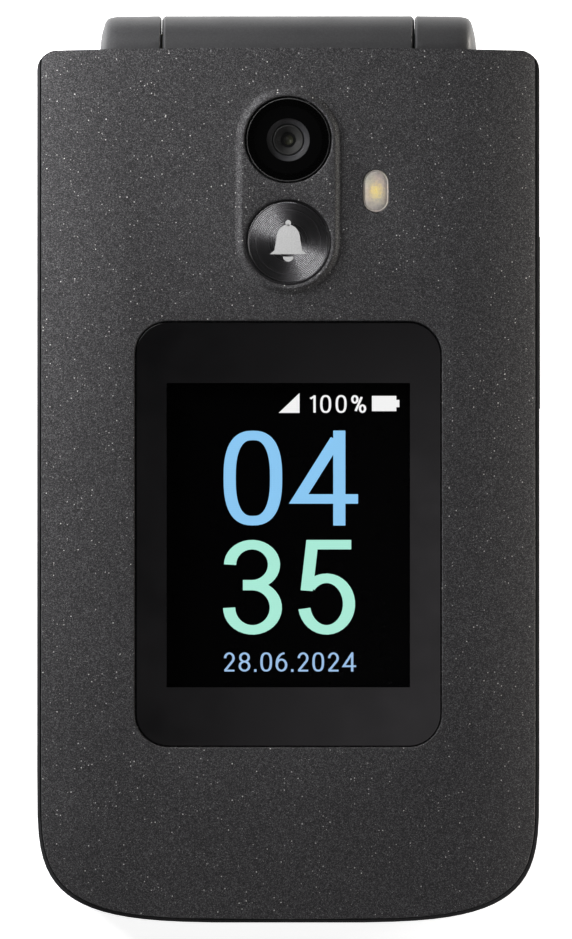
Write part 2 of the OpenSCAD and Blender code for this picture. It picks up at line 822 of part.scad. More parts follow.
// How an end knuckle rounds off: [distance in from its end, share of its radius]
ear_end = [[3.2, 0.99], [1.9, 0.98], [1.3, 0.955], [0.9, 0.91], [0.62, 0.82], [0.42, 0.66], [0.22, 0.46],
    [0.1, 0.26], [0, 0]];

module ear() {
    turned_on_hinge(concat(
        [[ear_x0, 0], [ear_x0, knuckle_r - chamfer], [ear_x0 + chamfer, knuckle_r]],
        [for (e = ear_end) [ear_x1 - e[0], knuckle_r * e[1]]]
    ));
}

module front_housing() {
    color("dimgray") difference() {
        union() {
            difference() {
                skin([[0, 0, base_split], [0, 0, base_t - edge_break],
                      [0.15, 0.15, base_t - 0.2], [edge_break, edge_break, base_t]]);
                intersection() {
                    slice(base_wall, base_wall, base_split - through, face_under);
                    block(-side_x, side_x, free_y, hinge_y - knuckle_block, 0, lid_z);
                }
            }
            both_sides() ear();
            at_base_screws() disc(boss_r, base_split, face_under + through);
        }
        axle(knuckle_r + swing_gap, -ear_x0, ear_x0);
        for (o = openings) translate([o[0][0], o[0][1], 0])
            pad(o[1] + 2 * key_gap, o[2] + 2 * key_gap, o[3] + key_gap, base_split, base_t + through);
        // Sockets of cam shaft and hinge pin
        translate([0, hinge_y, hinge_z])
            block(cam_x0, -ear_x0 + through, -cam_head / 2, cam_head / 2, -cam_head / 2, cam_head / 2);
        axle(pin_r + hold_gap, ear_x0 - through, pin_x1 + 0.1);
        at_base_screws() disc(screw_hole_r, base_split - through, face_under - 0.3);
    }
}

// ---- Base: rear housing ----

deck_z = base_split - 1.4;
deck_t = 0.5;
battery_y = free_y + 16.5 + battery_len / 2;
battery_z = door_floor + 0.15;
bay_gap = 0.3;
bay_wall = 1;
lip_in = base_wall + door_gap + 0.05;
lip_z = door_floor + 0.5;
rail_z = door_h - 0.7;
rail_depth = 0.7;
socket_z = 4.85;
jack_half_w = 3.1;
jack_y0 = free_y + 2.2;
jack_nose_r = jack_r + 0.35;
jack_nose_y = free_y + 0.45;
jack_z0 = socket_z - jack_r - 0.4;
port_z = board_z - 1.65;
port_shell = 0.3;
speaker_at = [-12.8, hinge_y - 8.4];
speaker_w = 14;
speaker_len = 6.6;
strip_floor = 1.2;
rocker_z = 5;
rocker_slot = key_gap;

// How the back rounds into the sides: [inset, height]
function back_edge() = [for (i = [0:4]) let (t = 90 * i / 4)
    [back_round * (1 - sin(t)), back_round * (1 - cos(t))]];

// Outer skin of the base below a height
module base_skin(top) {
    skin(concat([for (e = back_edge()) [e[0], e[0], e[1]]], [[0, 0, top]]));
}

module grille_holes() {
    hole_r = 0.45;
    pitch = 1.5;
    for (i = [-3:3], j = [-1:1])
        translate([speaker_at[0] + i * pitch, speaker_at[1] + j * pitch, -through])
            cylinder(h = strip_floor + 2 * through, r = hole_r, $fn = 16);
}

module rear_housing() {
    bay_w = battery_w + 2 * bay_gap;
    bay_len = battery_len + 2 * bay_gap;
    color("dimgray") difference() {
        union() {
            // Side wall above the battery cover, and the fixed strip beside the hinge
            difference() {
                base_skin(base_split);
                slice(base_wall, base_wall, strip_floor, base_split + through);
                block(-side_x, side_x, free_y - 1, door_y + door_gap, -1, door_h);
            }
            // Lip that the battery cover slides on
            difference() {
                intersection() {
                    slice(lip_in, lip_in, lip_z, door_h + through);
                    block(-side_x, side_x, free_y, door_y + door_gap + through, 0, base_split);
                }
                slice(lip_in + door_lip, lip_in + door_lip, lip_z - through, door_h + 2 * through);
            }
            difference() {
                slice(base_wall - 0.1, base_wall - 0.1, door_h, door_h + 0.6);
                slice(lip_in + door_lip, lip_in + door_lip, 0, base_split);
                block(-side_x, side_x, door_y, hinge_y, 0, base_split);
            }
            // Battery bay: its frame and roof
            translate([0, battery_y, 0]) difference() {
                pad(bay_w + 2 * bay_wall, bay_len + 2 * bay_wall, 1.2, lip_z, deck_z + deck_t);
                pad(bay_w, bay_len, 0.6, lip_z - through, deck_z);
            }
            // Arms from the bay to the wall
            for (share = [-0.42, -0.1, 0.2]) both_sides() translate([0, battery_y + share * battery_len, 0])
                block(battery_w / 2 + bay_gap + bay_wall - 0.2, side_x - base_wall + 0.2,
                    -1, 1, door_h + 0.3, deck_z - 0.2);
            at_base_screws() disc(boss_r, base_screw_z - 0.5, under_board);
            // Webs from the bosses to the wall
            intersection() {
                slice(base_wall - 0.2, base_wall - 0.2, base_screw_z, board_z - 0.4);
                both_sides() for (p = base_screw_at) translate([p[0], p[1], 0])
                    rotate([0, 0, p[1] < 0 ? -50 : 0]) block(0, 8, -0.8, 0.8, 0, base_split);
            }
        }
        // Straight grooves for the battery cover's hooks
        both_sides() block(side_x - lip_in - rail_depth, side_x, free_y - 1, door_y, rail_z, door_h);
        // Space that the middle knuckle turns in, and seats of the end knuckles
        axle(knuckle_r + swing_gap, -ear_x0, ear_x0);
        both_sides() axle(knuckle_r + hold_gap, barrel_x, ear_x1 + hold_gap);
        grille_holes();
        // Openings for charging port, headset plug and volume rocker
        translate([0, free_y, port_z]) rotate([90, 0, 0])
            pad(port_w + 1.1, port_h + 1.1, (port_h + 1.1) / 2, -4, 4);
        translate([-jack_x, free_y - 2, socket_z]) rotate([-90, 0, 0])
            cylinder(h = 6, r = jack_nose_r + seat_gap);
        block(-jack_x - jack_half_w - 0.2, -jack_x + jack_half_w + 0.2, jack_y0 - 0.2, jack_y0 + 4,
            jack_z0 - 0.1, base_split);
        block(side_x - 3, side_x + 1, rocker_y - rocker_len / 2 - rocker_slot,
            rocker_y + rocker_len / 2 + rocker_slot, rocker_z - rocker_h / 2 - rocker_slot,
            rocker_z + rocker_h / 2 + rocker_slot);
        at_base_screws() {
            disc(screw_head_r + 0.1, 0, base_screw_z + screw_head_h);
            disc(screw_hole_r, 0, base_split);
        }
    }
}

// ---- Base: sliding battery cover ----

hook_len = 3;
grip_y = hinge_y - 24;

module battery_cover() {
    tab_t = 0.4;
    color("dimgray") difference() {
        union() {
            difference() {
                base_skin(door_h - 0.05);
                slice(base_wall, base_wall, door_floor, base_split);
            }
            // Hooks that run in the lip's grooves
            both_sides() for (y = [free_y + 24, free_y + 50, free_y + 76])
                block(side_x - base_wall - rail_depth + 0.05, side_x - base_wall + 0.2,
                    y, y + hook_len, rail_z + 0.1, door_h - 0.1);
        }
        block(-side_x, side_x, door_y, hinge_y + 1, -1, base_t);
        // Finger grip
        for (i = [-2:2]) translate([0, grip_y + i * 1.4, 0])
            pad(12 - abs(i) * 1.6, 0.7, 0.35, -through, 0.3);
    }
    // Tongue over the fixed strip's floor
    color("dimgray") block(4, 16, door_y - 3, door_y + 2, strip_floor + 0.1, strip_floor + 0.1 + tab_t);
    color("dimgray") block(4, 16, door_y - 3, door_y - 1, door_floor - 0.1, strip_floor + 0.1 + tab_t);
}

// ---- Base: battery, boards and what they carry ----

module battery_pack() {
    label_t = 0.05;
    color("lightgray") translate([0, battery_y, 0]) {
        pad(battery_w, battery_len, 1.2, battery_z + label_t, battery_z + battery_t);
        pad(battery_w - 3, battery_len - 6, 0.8, battery_z, battery_z + battery_t - 1);
    }
}

connector_y = battery_y + battery_len / 2 + bay_gap + bay_wall + 0.2;
connector_w = 9;
connector_len = 3;
connector_x = 10;

module battery_connector() {
    contact_w = 0.8;
    contact_pitch = 2.2;
    contact_z = battery_z + 0.8;
    color("gold") for (i = [-1:1])
        translate([connector_x + i * contact_pitch, connector_y + connector_len, 0])
            block(-contact_w / 2, contact_w / 2, -contact_w / 2, contact_w / 2,
                contact_z, contact_z + contact_w);
    color("black") translate([connector_x, connector_y, 0])
        block(-connector_w / 2, connector_w / 2, 0, connector_len, contact_z, under_board);
}

main_board_y0 = free_y + 3.2;
main_board_y1 = hinge_y - knuckle_block - 0.5;

module main_circuit_board() {
    inset = 2.2;
    color("darkgreen") difference() {
        intersection() {
            slice(inset, inset, board_z, base_split);
            block(-side_x, side_x, main_board_y0, main_board_y1, 0, base_t);
        }
        at_base_screws() disc(screw_r + 0.3, board_z - through, base_split + through);
    }
}

membrane_y0 = row_y[0] - key_len / 2 - 0.7;
membrane_y1 = ring_y + ring_len / 2 + 1.2;

// Thin sheet under the whole keypad, inside the side walls
module keypad_sheet(inset, z0, z1) {
    intersection() {
        slice(base_wall + 0.4 + inset, base_wall + 0.4 + inset, z0, z1);
        block(-side_x, side_x, membrane_y0 + inset, membrane_y1 - inset, 0, base_t);
    }
}

module keypad_dome_sheet() {
    dome_r = 2.5;
    dome_top_r = 1.4;
    dome_h = membrane_z - sheet_top - 0.03;
    color("lightgray") {
        keypad_sheet(0.5, base_split, sheet_top);
        for (o = openings) if (o[1] != ring_w)
            translate([o[0][0], o[0][1], sheet_top - 0.02])
                cylinder(h = dome_h, r1 = dome_r, r2 = dome_top_r);
        for (a = [0:90:270]) translate([0, ring_y, 0]) rotate([0, 0, a])
            translate([(ring_len / 2 + ring_hole_r) / 2, 0, sheet_top - 0.02])
                cylinder(h = dome_h, r1 = 1.8, r2 = 1);
        translate([0, ring_y, sheet_top - 0.02]) cylinder(h = dome_h, r1 = dome_r, r2 = dome_top_r);
    }
}

module keypad_membrane() {
    color("gainsboro") difference() {
        keypad_sheet(0, membrane_z, membrane_top);
        at_base_screws() disc(boss_r + 0.2, membrane_z - through, membrane_top + through);
    }
}

module usb_port() {
    port_len = 7.3;
    wall = port_shell;
    y0 = free_y + 0.7;
    color("silver") translate([0, y0, port_z]) rotate([-90, 0, 0]) difference() {
        pad(port_w + 2 * wall, port_h + 2 * wall, port_h / 2 + wall, 0, port_len);
        pad(port_w, port_h, port_h / 2, -through, port_len - wall);
    }
    color("black") block(-3.35, 3.35, y0 + 1, y0 + port_len - 0.1, port_z - 0.35, port_z + 0.35);
}

module headset_jack() {
    back_y = jack_nose_y + jack_depth + 1;
    color("black") difference() {
        union() {
            block(-jack_x - jack_half_w, -jack_x + jack_half_w, jack_y0, back_y, jack_z0, under_board);
            translate([-jack_x, jack_nose_y, socket_z]) rotate([-90, 0, 0])
                cylinder(h = jack_y0 + through - jack_nose_y, r = jack_nose_r);
        }
        translate([-jack_x, jack_nose_y - through, socket_z]) rotate([-90, 0, 0])
            cylinder(h = jack_depth + through, r = jack_r);
    }
}

rocker_back = side_x - base_wall - 0.9;

module volume_rocker() {
    flange = 0.45;
    flange_t = 0.5;
    crown = 0.15;
    color("dimgray") {
        translate([rocker_back, rocker_y, rocker_z]) rotate([90, 0, 90]) {
            pad(rocker_len, rocker_h, rocker_h / 2, 0, base_wall + 0.9 + rocker_out - crown);
            pad(rocker_len - 0.8, rocker_h - 0.8, rocker_h / 2 - 0.4, 0, base_wall + 0.9 + rocker_out);
            pad(rocker_len + 2 * flange, rocker_h + 2 * flange, rocker_h / 2 + flange, 0, flange_t);
        }
    }
}

module volume_switch() {
    front = rocker_back - 0.35;
    thick = 0.3;
    button_h = 0.9;
    color("peru") block(front - thick - button_h, front - button_h, rocker_y - 9.5, rocker_y + 9.5,
        rocker_z - 1.6, under_board);
    color("silver") for (s = [-1, 1]) translate([front - button_h, rocker_y + s * 6.5, rocker_z])
        rotate([0, 90, 0]) cylinder(h = button_h, r = 1.1);
}

module loudspeaker() {
    z0 = strip_floor + 0.25;
    color("darkgray") translate([speaker_at[0], speaker_at[1] - 0.2, 0]) {
        pad(speaker_w, speaker_len, 1.5, z0, z0 + 3);
        pad(speaker_w - 3, speaker_len - 2.4, 1, z0, z0 + 3.6);
    }
}

module loudspeaker_mesh() {
    color("gray") translate([speaker_at[0], speaker_at[1], 0])
        pad(11, 4.6, 0.8, strip_floor + hold_gap, strip_floor + 0.22);
}

module vibration_motor() {
    motor_r = 4;
    motor_h = 2.7;
    beside = connector_x + connector_w / 2 + motor_r + 0.8;
    color("silver") translate([beside, connector_y + connector_len + motor_r + 2, 0])
        disc(motor_r, under_board - motor_h, under_board);
}

module sim_card_holder() {
    shell = 0.25;
    w = 15;
    l = 12.4;
    h = 1.5;
    top = under_board;
    beside = connector_x - connector_w / 2 - w / 2 - 10;
    color("silver") translate([beside, connector_y + l / 2 + 1, 0]) difference() {
        pad(w, l, 0.5, top - h, top);
        block(-w / 2 + shell, w / 2 - shell, -l / 2 - 1, l / 2 - shell, top - h + shell, top - shell);
        block(-3, 3, -l / 2 - 1, -1, top - h - 1, top - h + 2 * shell);
    }
}

// ---- Keys ----

// Key cap with a softened top edge and a flange that keeps it under the keypad face
module key_cap(w, l, r) {
    soften = 0.2;
    pad(w, l, r, key_flange_z, key_top - soften);
    pad(w - 2 * soften, l - 2 * soften, r - soften, key_flange_z, key_top);
    pad(w + 2 * key_flange, l + 2 * key_flange, r + key_flange, key_flange_z, key_flange_z + key_flange_h);
}

module number_key(i) {
    p = key_at(i);
    color("darkslategray") translate([p[0], p[1], 0]) key_cap(key_w, key_len, key_r);
}

module function_key(column) {
    translate([column * key_pitch_x, function_y, 0]) key_cap(key_w, function_len, key_r);
}

module call_key() { color("seagreen") function_key(-1); }
module clear_key() { color("darkslategray") function_key(0); }
module end_key() { color("firebrick") function_key(1); }

module soft_key(side) {
    color("darkslategray") translate([side * soft_x, soft_y, 0]) key_cap(soft_w, soft_len, key_r);
}
module soft_key_left() { soft_key(-1); }
module soft_key_right() { soft_key(1); }

foot_z = membrane_top + 0.25;
foot_t = 0.25;
ridge_top = foot_z + 2 * foot_t;

// Flexible foot that rocks the ring towards and away from the hinge
module navigation_foot() {
    ridge = 1.5;
    color("gainsboro") translate([0, ring_y, 0]) difference() {
        union() {
            pad(ring_w + 2 * key_flange, ring_len + 2 * key_flange, ring_r, foot_z, foot_z + foot_t);
            block(-ridge, ridge, -ring_len / 2 + 0.3, ring_len / 2 - 0.3, foot_z, ridge_top);
        }
        disc(ring_hole_r + 0.2, foot_z - through, ridge_top + through);
    }
}

// Ring that rocks sideways on the foot
module navigation_ring() {
    z0 = ridge_top + 0.03;
    soften = 0.25;
    color("silver") translate([0, ring_y, 0]) difference() {
        union() {
            pad(ring_w, ring_len, ring_r, z0, base_t - soften);
            pad(ring_w - 2 * soften, ring_len - 2 * soften, ring_r - soften, z0, base_t);
        }
        disc(ring_hole_r, z0 - through, base_t + through);
    }
}

module select_key() {
    soften = 0.25;
    color("darkslategray") translate([0, ring_y, 0]) {
        disc(select_r, membrane_top + key_travel + 0.05, key_top - soften);
        translate([0, 0, key_top - soften]) cylinder(h = soften, r1 = select_r, r2 = select_r - soften);
    }
}

// ---- Assembly ----

lid_outer_cover();
lid_inner_housing();
outer_display_lens();
outer_display_module();
camera_lens_cover();
camera_module();
flash_lens();
flash_led();
shortcut_key();
shortcut_key_switch();
lid_circuit_board();
main_display_lens();
main_display_module();
earpiece_speaker();
earpiece_mesh();
lid_screws();
lid_bumpers();
hinge_spring_case();
hinge_spring();
hinge_cam_follower();
hinge_flex();
hinge_cam_shaft();
hinge_pin();
front_housing();
rear_housing();
battery_cover();
battery_pack();
battery_connector();
main_circuit_board();
keypad_membrane();
keypad_dome_sheet();
usb_port();
headset_jack();
volume_rocker();
volume_switch();
loudspeaker();
loudspeaker_mesh();
vibration_motor();
sim_card_holder();
base_screws();
navigation_ring();
navigation_foot();
select_key();
soft_key_left();
soft_key_right();
call_key();
clear_key();
end_key();
for (i = [0:len(NUMBER_KEYS) - 1])
    number_key(i);
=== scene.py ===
import json
import math

import bmesh
import bpy
from mathutils import Matrix, Vector, geometry


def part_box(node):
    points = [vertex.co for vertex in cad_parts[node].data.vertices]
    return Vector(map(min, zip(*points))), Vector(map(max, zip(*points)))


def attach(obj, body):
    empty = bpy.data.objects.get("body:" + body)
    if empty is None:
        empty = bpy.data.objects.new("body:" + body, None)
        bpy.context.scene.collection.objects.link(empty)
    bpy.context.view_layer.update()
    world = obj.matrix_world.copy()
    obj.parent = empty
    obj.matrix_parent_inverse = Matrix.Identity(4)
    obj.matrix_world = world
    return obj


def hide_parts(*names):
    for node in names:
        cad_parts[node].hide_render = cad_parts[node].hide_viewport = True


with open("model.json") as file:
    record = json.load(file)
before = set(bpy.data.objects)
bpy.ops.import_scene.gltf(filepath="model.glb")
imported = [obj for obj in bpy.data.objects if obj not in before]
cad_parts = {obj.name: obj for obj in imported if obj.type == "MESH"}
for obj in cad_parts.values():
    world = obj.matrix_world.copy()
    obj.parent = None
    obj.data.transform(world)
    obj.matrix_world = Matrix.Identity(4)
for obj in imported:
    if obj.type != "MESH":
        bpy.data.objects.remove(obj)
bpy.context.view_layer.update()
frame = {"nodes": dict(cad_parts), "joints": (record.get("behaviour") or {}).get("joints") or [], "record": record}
scene = bpy.context.scene
scene.view_settings.view_transform = "Standard"
nodes = frame["nodes"]
bodyOf = {name: body for body, names in frame["record"]["behaviour"]["bodies"].items()
          for name in names}
slotOf = {part["node"]: part["material_slot"] for part in frame["record"]["subparts"]}
mm = 0.001
print("frame loaded,", len(nodes), "nodes")

# the hinge axis, in millimetres; most places are measured from it or from a node's box
hingeJoint = next(j for j in frame["joints"] if j["name"] == "lid_hinge")
hingeY = hingeJoint["pos_m"][1] / mm
hingeZ = hingeJoint["pos_m"][2] / mm


def cadBox(name):
    low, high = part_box(name)
    return low / mm, high / mm


def middleOf(name):
    low, high = cadBox(name)
    return (low + high) / 2


outline = {
    "halfWidth": cadBox("lid_inner_housing")[1].x,
    "freeEnd": cadBox("rear_housing")[0].y,
    "endLength": 17.5,      # length over which the free end rounds in
    "endPower": 4.25,       # how square that rounding is
    "cornerRadius": 2.2,
    "leastCorner": 0.3,
    "bow": 0.3,             # how far the hinge end bows out
    "endSteps": 40,
    "cornerSteps": 10,
    "bowSteps": 8,
}


# points round the phone's outline, moved in by inset, and by endInset at the hinge end
def phoneOutline(inset, endInset):
    o = outline
    a = o["halfWidth"] - inset
    b = o["endLength"] - inset
    y0 = o["freeEnd"] + o["endLength"]
    r = max(o["cornerRadius"] - inset, o["leastCorner"])
    straightX = a - r
    endY = hingeY - endInset
    n = o["endPower"]
    half = []
    for i in range(o["endSteps"] + 1):
        turn = math.radians(90 - 90 * i / o["endSteps"])
        # the point whose edge faces this way, so that points crowd where the edge bends
        slope = math.tan(min(turn, math.radians(89.9999)))
        ratio = (b / a * slope) ** (1 / (n - 1)) if turn > 0 else 0
        u = (1 + ratio ** n) ** (-1 / n)
        half.append((a * u, y0 - b * ratio * u))
    for i in range(o["cornerSteps"] + 1):
        t = math.radians(90 * i / o["cornerSteps"])
        half.append((straightX + r * math.cos(t), endY - o["bow"] - r + r * math.sin(t)))
    for i in range(1, o["bowSteps"] + 1):
        x = straightX * (1 - i / o["bowSteps"])
        half.append((x, endY - o["bow"] * (x / straightX) ** 2))
    return half + [(-x, y) for x, y in reversed(half[1:-1])]


# how far inside the outline a point lies
def insetAt(x, y, deepest=12.0):
    o = outline
    x = abs(x)
    y0 = o["freeEnd"] + o["endLength"]
    if y < y0:
        low, high = 0.0, deepest
        for _ in range(22):     # halvings, down to a few nanometres
            s = (low + high) / 2
            inside = (x / (o["halfWidth"] - s)) ** o["endPower"] + \
                ((y0 - y) / (o["endLength"] - s)) ** o["endPower"] < 1
            low, high = (s, high) if inside else (low, s)
        return low
    side = o["halfWidth"] - x
    straightX = o["halfWidth"] - o["cornerRadius"]
    end = hingeY - o["bow"] * min(x / straightX, 1) ** 2 - y
    r = o["cornerRadius"]
    if side < r and end < r:
        return r - math.hypot(r - side, r - end)
    return min(side, end)


hair = 0.001    # keeps the ends of a full-round loop from meeting in one point


def roundedLoop(w, l, r, cx, cy, steps=8):
    points = []
    for sx, sy, start in ((1, 1, 0), (-1, 1, 90), (-1, -1, 180), (1, -1, 270)):
        for i in range(steps + 1):
            t = math.radians(start + 90 * i / steps)
            points.append((cx + sx * (w / 2 - r) + r * math.cos(t),
                           cy + sy * (l / 2 - r) + r * math.sin(t)))
    return points


# distance outside a rounded rectangle, negative inside it
def roundedDistance(x, y, w, l, r):
    dx = abs(x) - (w / 2 - r)
    dy = abs(y) - (l / 2 - r)
    return math.hypot(max(dx, 0), max(dy, 0)) + min(max(dx, dy), 0) - r


def circleLoop(r, cx, cy, steps=96):
    turns = [2 * math.pi * i / steps for i in range(steps)]
    return [(cx + r * math.cos(t), cy + r * math.sin(t)) for t in turns]


# stretch of an ellipse, or of a squarer curve where power is under 1
def arc(cx, cy, rx, ry, start, end, steps=20, power=1.0):
    points = []
    for i in range(steps + 1):
        t = math.radians(start + (end - start) * i / steps)
        c, s = math.cos(t), math.sin(t)
        points.append((cx + rx * math.copysign(abs(c) ** power, c),
                       cy + ry * math.copysign(abs(s) ** power, s)))
    return points


def smoothStep(t):
    t = min(max(t, 0), 1)
    return t * t * (3 - 2 * t)


# drop of a quarter-round edge at a distance from the edge
def fillet(distance, r):
    if distance >= r:
        return 0.0
    return r - math.sqrt(max(r * r - (r - max(distance, 0)) ** 2, 0))


# the same edge as steps of (inwards, down), from the side up to the face
def roundedEdge(r):
    turns = [math.radians(a) for a in (20, 40, 60, 80, 90)]
    return [(r * (1 - math.cos(t)), r * (1 - math.sin(t))) for t in turns]


def addObject(name, data):
    made = bpy.data.objects.new(name, data)
    scene.collection.objects.link(made)
    return made


def meshObject(name, bm):
    mesh = bpy.data.meshes.new(name)
    bm.to_mesh(mesh)
    bm.free()
    return addObject(name, mesh)


# the same for a closed shape drawn in millimetres, with its faces turned outwards
def solidObject(name, bm):
    bmesh.ops.recalc_face_normals(bm, faces=bm.faces)
    bmesh.ops.scale(bm, vec=(mm, mm, mm), verts=bm.verts)
    return meshObject(name, bm)


# swaps the piece's mesh for the plain one that its modifiers make
def applyModifiers(piece):
    bpy.context.view_layer.update()
    old, name = piece.data, piece.data.name
    evaluated = piece.evaluated_get(bpy.context.evaluated_depsgraph_get())
    plainMesh = bpy.data.meshes.new_from_object(evaluated)
    piece.modifiers.clear()
    piece.data = plainMesh
    bpy.data.meshes.remove(old)
    piece.data.name = name


def smoothShading(piece, degrees=40):
    piece.data.shade_smooth()
    piece.data.set_sharp_from_angle(angle=math.radians(degrees))


# large flat faces keep their own direction, and the rounding beside them bends to it
def evenShading(piece):
    piece.modifiers.new("weighted", "WEIGHTED_NORMAL").keep_sharp = True
    applyModifiers(piece)


def setMaterials(piece, *materials):
    if piece.data.materials:    # clearing also forgets which face has which material
        piece.data.materials.clear()
    for material in materials:
        piece.data.materials.append(material)


# attaches the piece to the body that it moves with, and hides the nodes that it stands for
def settle(piece, body, slot, *replaced):
    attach(piece, body)
    if replaced:
        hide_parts(*replaced)
    return piece


# one object from several, each keeping its own materials
def join(pieces, name):
    merged = bmesh.new()
    materials = []
    for piece in pieces:
        start = len(merged.faces)
        merged.from_mesh(piece.data)
        merged.faces.ensure_lookup_table()
        materials += [m for m in piece.data.materials if m not in materials]
        places = [materials.index(m) for m in piece.data.materials]
        for face in merged.faces[start:]:
            face.material_index = places[face.material_index]
    for piece in pieces:
        old = piece.data
        bpy.data.objects.remove(piece)
        bpy.data.meshes.remove(old)
    whole = meshObject(name, merged)
    setMaterials(whole, *materials)
    return whole


# walls between two closed rings of vertices
def bridge(bm, low, high):
    for i in range(len(low)):
        k = (i + 1) % len(low)
        bm.faces.new((low[i], low[k], high[k], high[i]))


# skin through rings of (x, y, z), each with as many points, closed at both ends
def loft(name, rings):
    bm = bmesh.new()
    rows = [[bm.verts.new(p) for p in ring] for ring in rings]
    for low, high in zip(rows, rows[1:]):
        bridge(bm, low, high)
    bm.faces.new(list(reversed(rows[0])))
    bm.faces.new(rows[-1])
    return solidObject(name, bm)


# upright blocks over plan outlines
def blocks(name, outlines, z, depth):
    bm = bmesh.new()
    for points in outlines:
        low = [bm.verts.new((x, y, z)) for x, y in points]
        high = [bm.verts.new((x, y, z + depth)) for x, y in points]
        bm.faces.new(list(reversed(low)))
        bm.faces.new(high)
        bridge(bm, low, high)
    return solidObject(name, bm)


# closed piece turned about a vertical axis from points of (radius, z), from axis to axis
def turned(name, profile, centre, steps=96):
    bm = bmesh.new()
    rows = []
    for r, z in profile:
        plan = circleLoop(r, centre.x, centre.y, steps) if r > 1e-6 else [(centre.x, centre.y)]
        rows.append([bm.verts.new((x, y, z)) for x, y in plan])
    for low, high in zip(rows, rows[1:]):
        if len(low) == len(high):
            bridge(bm, low, high)
            continue
        for i in range(steps):
            k = (i + 1) % steps
            bm.faces.new((low[0], high[k], high[i]) if len(low) == 1 else (low[i], low[k], high[0]))
    return solidObject(name, bm)


# closed plate from plan loops: top and underside share a plan and are joined round every edge
def sheetSolid(name, loops, topAt, underAt, isHole, materialAt=None):
    points, edges = [], []
    for loop in loops:
        start = len(points)
        points.extend(Vector(p) for p in loop)
        edges.extend((start + i, start + (i + 1) % len(loop)) for i in range(len(loop)))
    flat, _, triangles, _, _, _ = geometry.delaunay_2d_cdt(points, edges, [], 1, 1e-5)

    def middle(triangle):
        return sum(flat[i].x for i in triangle) / 3, sum(flat[i].y for i in triangle) / 3

    kept = [t for t in triangles if not isHole(*middle(t))]
    bm = bmesh.new()
    used = sorted({i for t in kept for i in t})
    top, under = ({i: bm.verts.new((flat[i].x, flat[i].y, heightAt(flat[i].x, flat[i].y)))
                   for i in used} for heightAt in (topAt, underAt))
    rim = {}
    for t in kept:
        index = materialAt(*middle(t)) if materialAt else 0
        bm.faces.new([top[i] for i in t]).material_index = index
        bm.faces.new([under[i] for i in reversed(t)]).material_index = index
        for a, b in ((t[0], t[1]), (t[1], t[2]), (t[2], t[0])):
            if (b, a) in rim:
                del rim[(b, a)]
            else:
                rim[(a, b)] = True
    for a, b in rim:
        bm.faces.new((top[b], top[a], under[a], under[b]))
    return solidObject(name, bm)


# material with one Principled shader; returns it with its node tree and shader
def shader(name, colour, roughness, **sockets):
    material = bpy.data.materials.new(name)
    material.use_nodes = True
    tree = material.node_tree
    principled = tree.nodes["Principled BSDF"]
    principled.inputs["Base Color"].default_value = (*colour, 1)
    principled.inputs["Roughness"].default_value = roughness
    for key, value in sockets.items():
        principled.inputs[key.replace("_", " ")].default_value = value
    return material, tree, principled


# node with its settings, and its inputs as values or links
def addNode(tree, kind, inputs=None, **settings):
    node = tree.nodes.new(kind)
    for key, value in settings.items():
        setattr(node, key, value)
    for key, value in (inputs or {}).items():
        if isinstance(value, bpy.types.NodeSocket):
            tree.links.new(value, node.inputs[key])
        else:
            node.inputs[key].default_value = value
    return node


def objectPlace(tree):
    return addNode(tree, "ShaderNodeTexCoord").outputs["Object"]


# noise whose features are about size metres across
def noise(tree, place, size, detail=2.0, rough=0.5):
    return addNode(tree, "ShaderNodeTexNoise", {
        "Vector": place, "Scale": 1 / size, "Detail": detail, "Roughness": rough}).outputs["Fac"]


def mapTo(tree, value, fromMin, fromMax, toMin, toMax):
    return addNode(tree, "ShaderNodeMapRange", {
        "Value": value, "From Min": fromMin, "From Max": fromMax,
        "To Min": toMin, "To Max": toMax}).outputs["Result"]


# the same from a noise, most of which lies between these two levels
def noiseTo(tree, value, toMin, toMax):
    return mapTo(tree, value, 0.3, 0.7, toMin, toMax)


def maths(tree, operation, a, b=0.0):
    return addNode(tree, "ShaderNodeMath", {0: a, 1: b}, operation=operation).outputs["Value"]


def mixColour(tree, factor, a, b, blend="MIX"):
    a, b = (c if isinstance(c, bpy.types.NodeSocket) else (*c, 1) for c in (a, b))
    # the mix node's colour sockets are its seventh and eighth
    return addNode(tree, "ShaderNodeMix", {0: factor, 6: a, 7: b}, data_type="RGBA",
                   blend_type=blend).outputs[2]


def dimmed(tree, colour, level):
    return addNode(tree, "ShaderNodeVectorMath", {0: tuple(colour), "Scale": level},
                   operation="SCALE").outputs["Vector"]


# distance in plan from a middle, in metres
def planDistance(tree, place, middle, stretch=(1, 1, 0)):
    moved = addNode(tree, "ShaderNodeMapping", {"Vector": place, "Location": tuple(-middle * mm)})
    flat = addNode(tree, "ShaderNodeVectorMath", {0: moved.outputs["Vector"], 1: stretch},
                   operation="MULTIPLY")
    return addNode(tree, "ShaderNodeVectorMath", {0: flat.outputs["Vector"]},
                   operation="LENGTH").outputs["Value"]


# relief of a depth in metres
def addBump(tree, principled, height, depth, strength=1.0):
    bump = addNode(tree, "ShaderNodeBump", {"Height": height, "Distance": depth,
                                            "Strength": strength})
    tree.links.new(bump.outputs["Normal"], principled.inputs["Normal"])


# plastic with a fine spark-eroded texture and slight unevenness of tone
def mouldedPlastic(name, colour, roughness=0.5, grain=0.00016, depth=0.000012, variation=0.12,
                   **sockets):
    material, tree, principled = shader(name, colour, roughness, **sockets)
    place = objectPlace(tree)
    fine = noise(tree, place, grain, 3.0, 0.6)
    broad = noise(tree, place, 0.006)
    tone = maths(tree, "MULTIPLY", noiseTo(tree, fine, 1 - variation, 1 + variation),
                 noiseTo(tree, broad, 0.96, 1.04))
    tree.links.new(dimmed(tree, colour, tone), principled.inputs["Base Color"])
    tree.links.new(noiseTo(tree, broad, roughness - 0.04, roughness + 0.04),
                   principled.inputs["Roughness"])
    addBump(tree, principled, fine, depth)
    return material


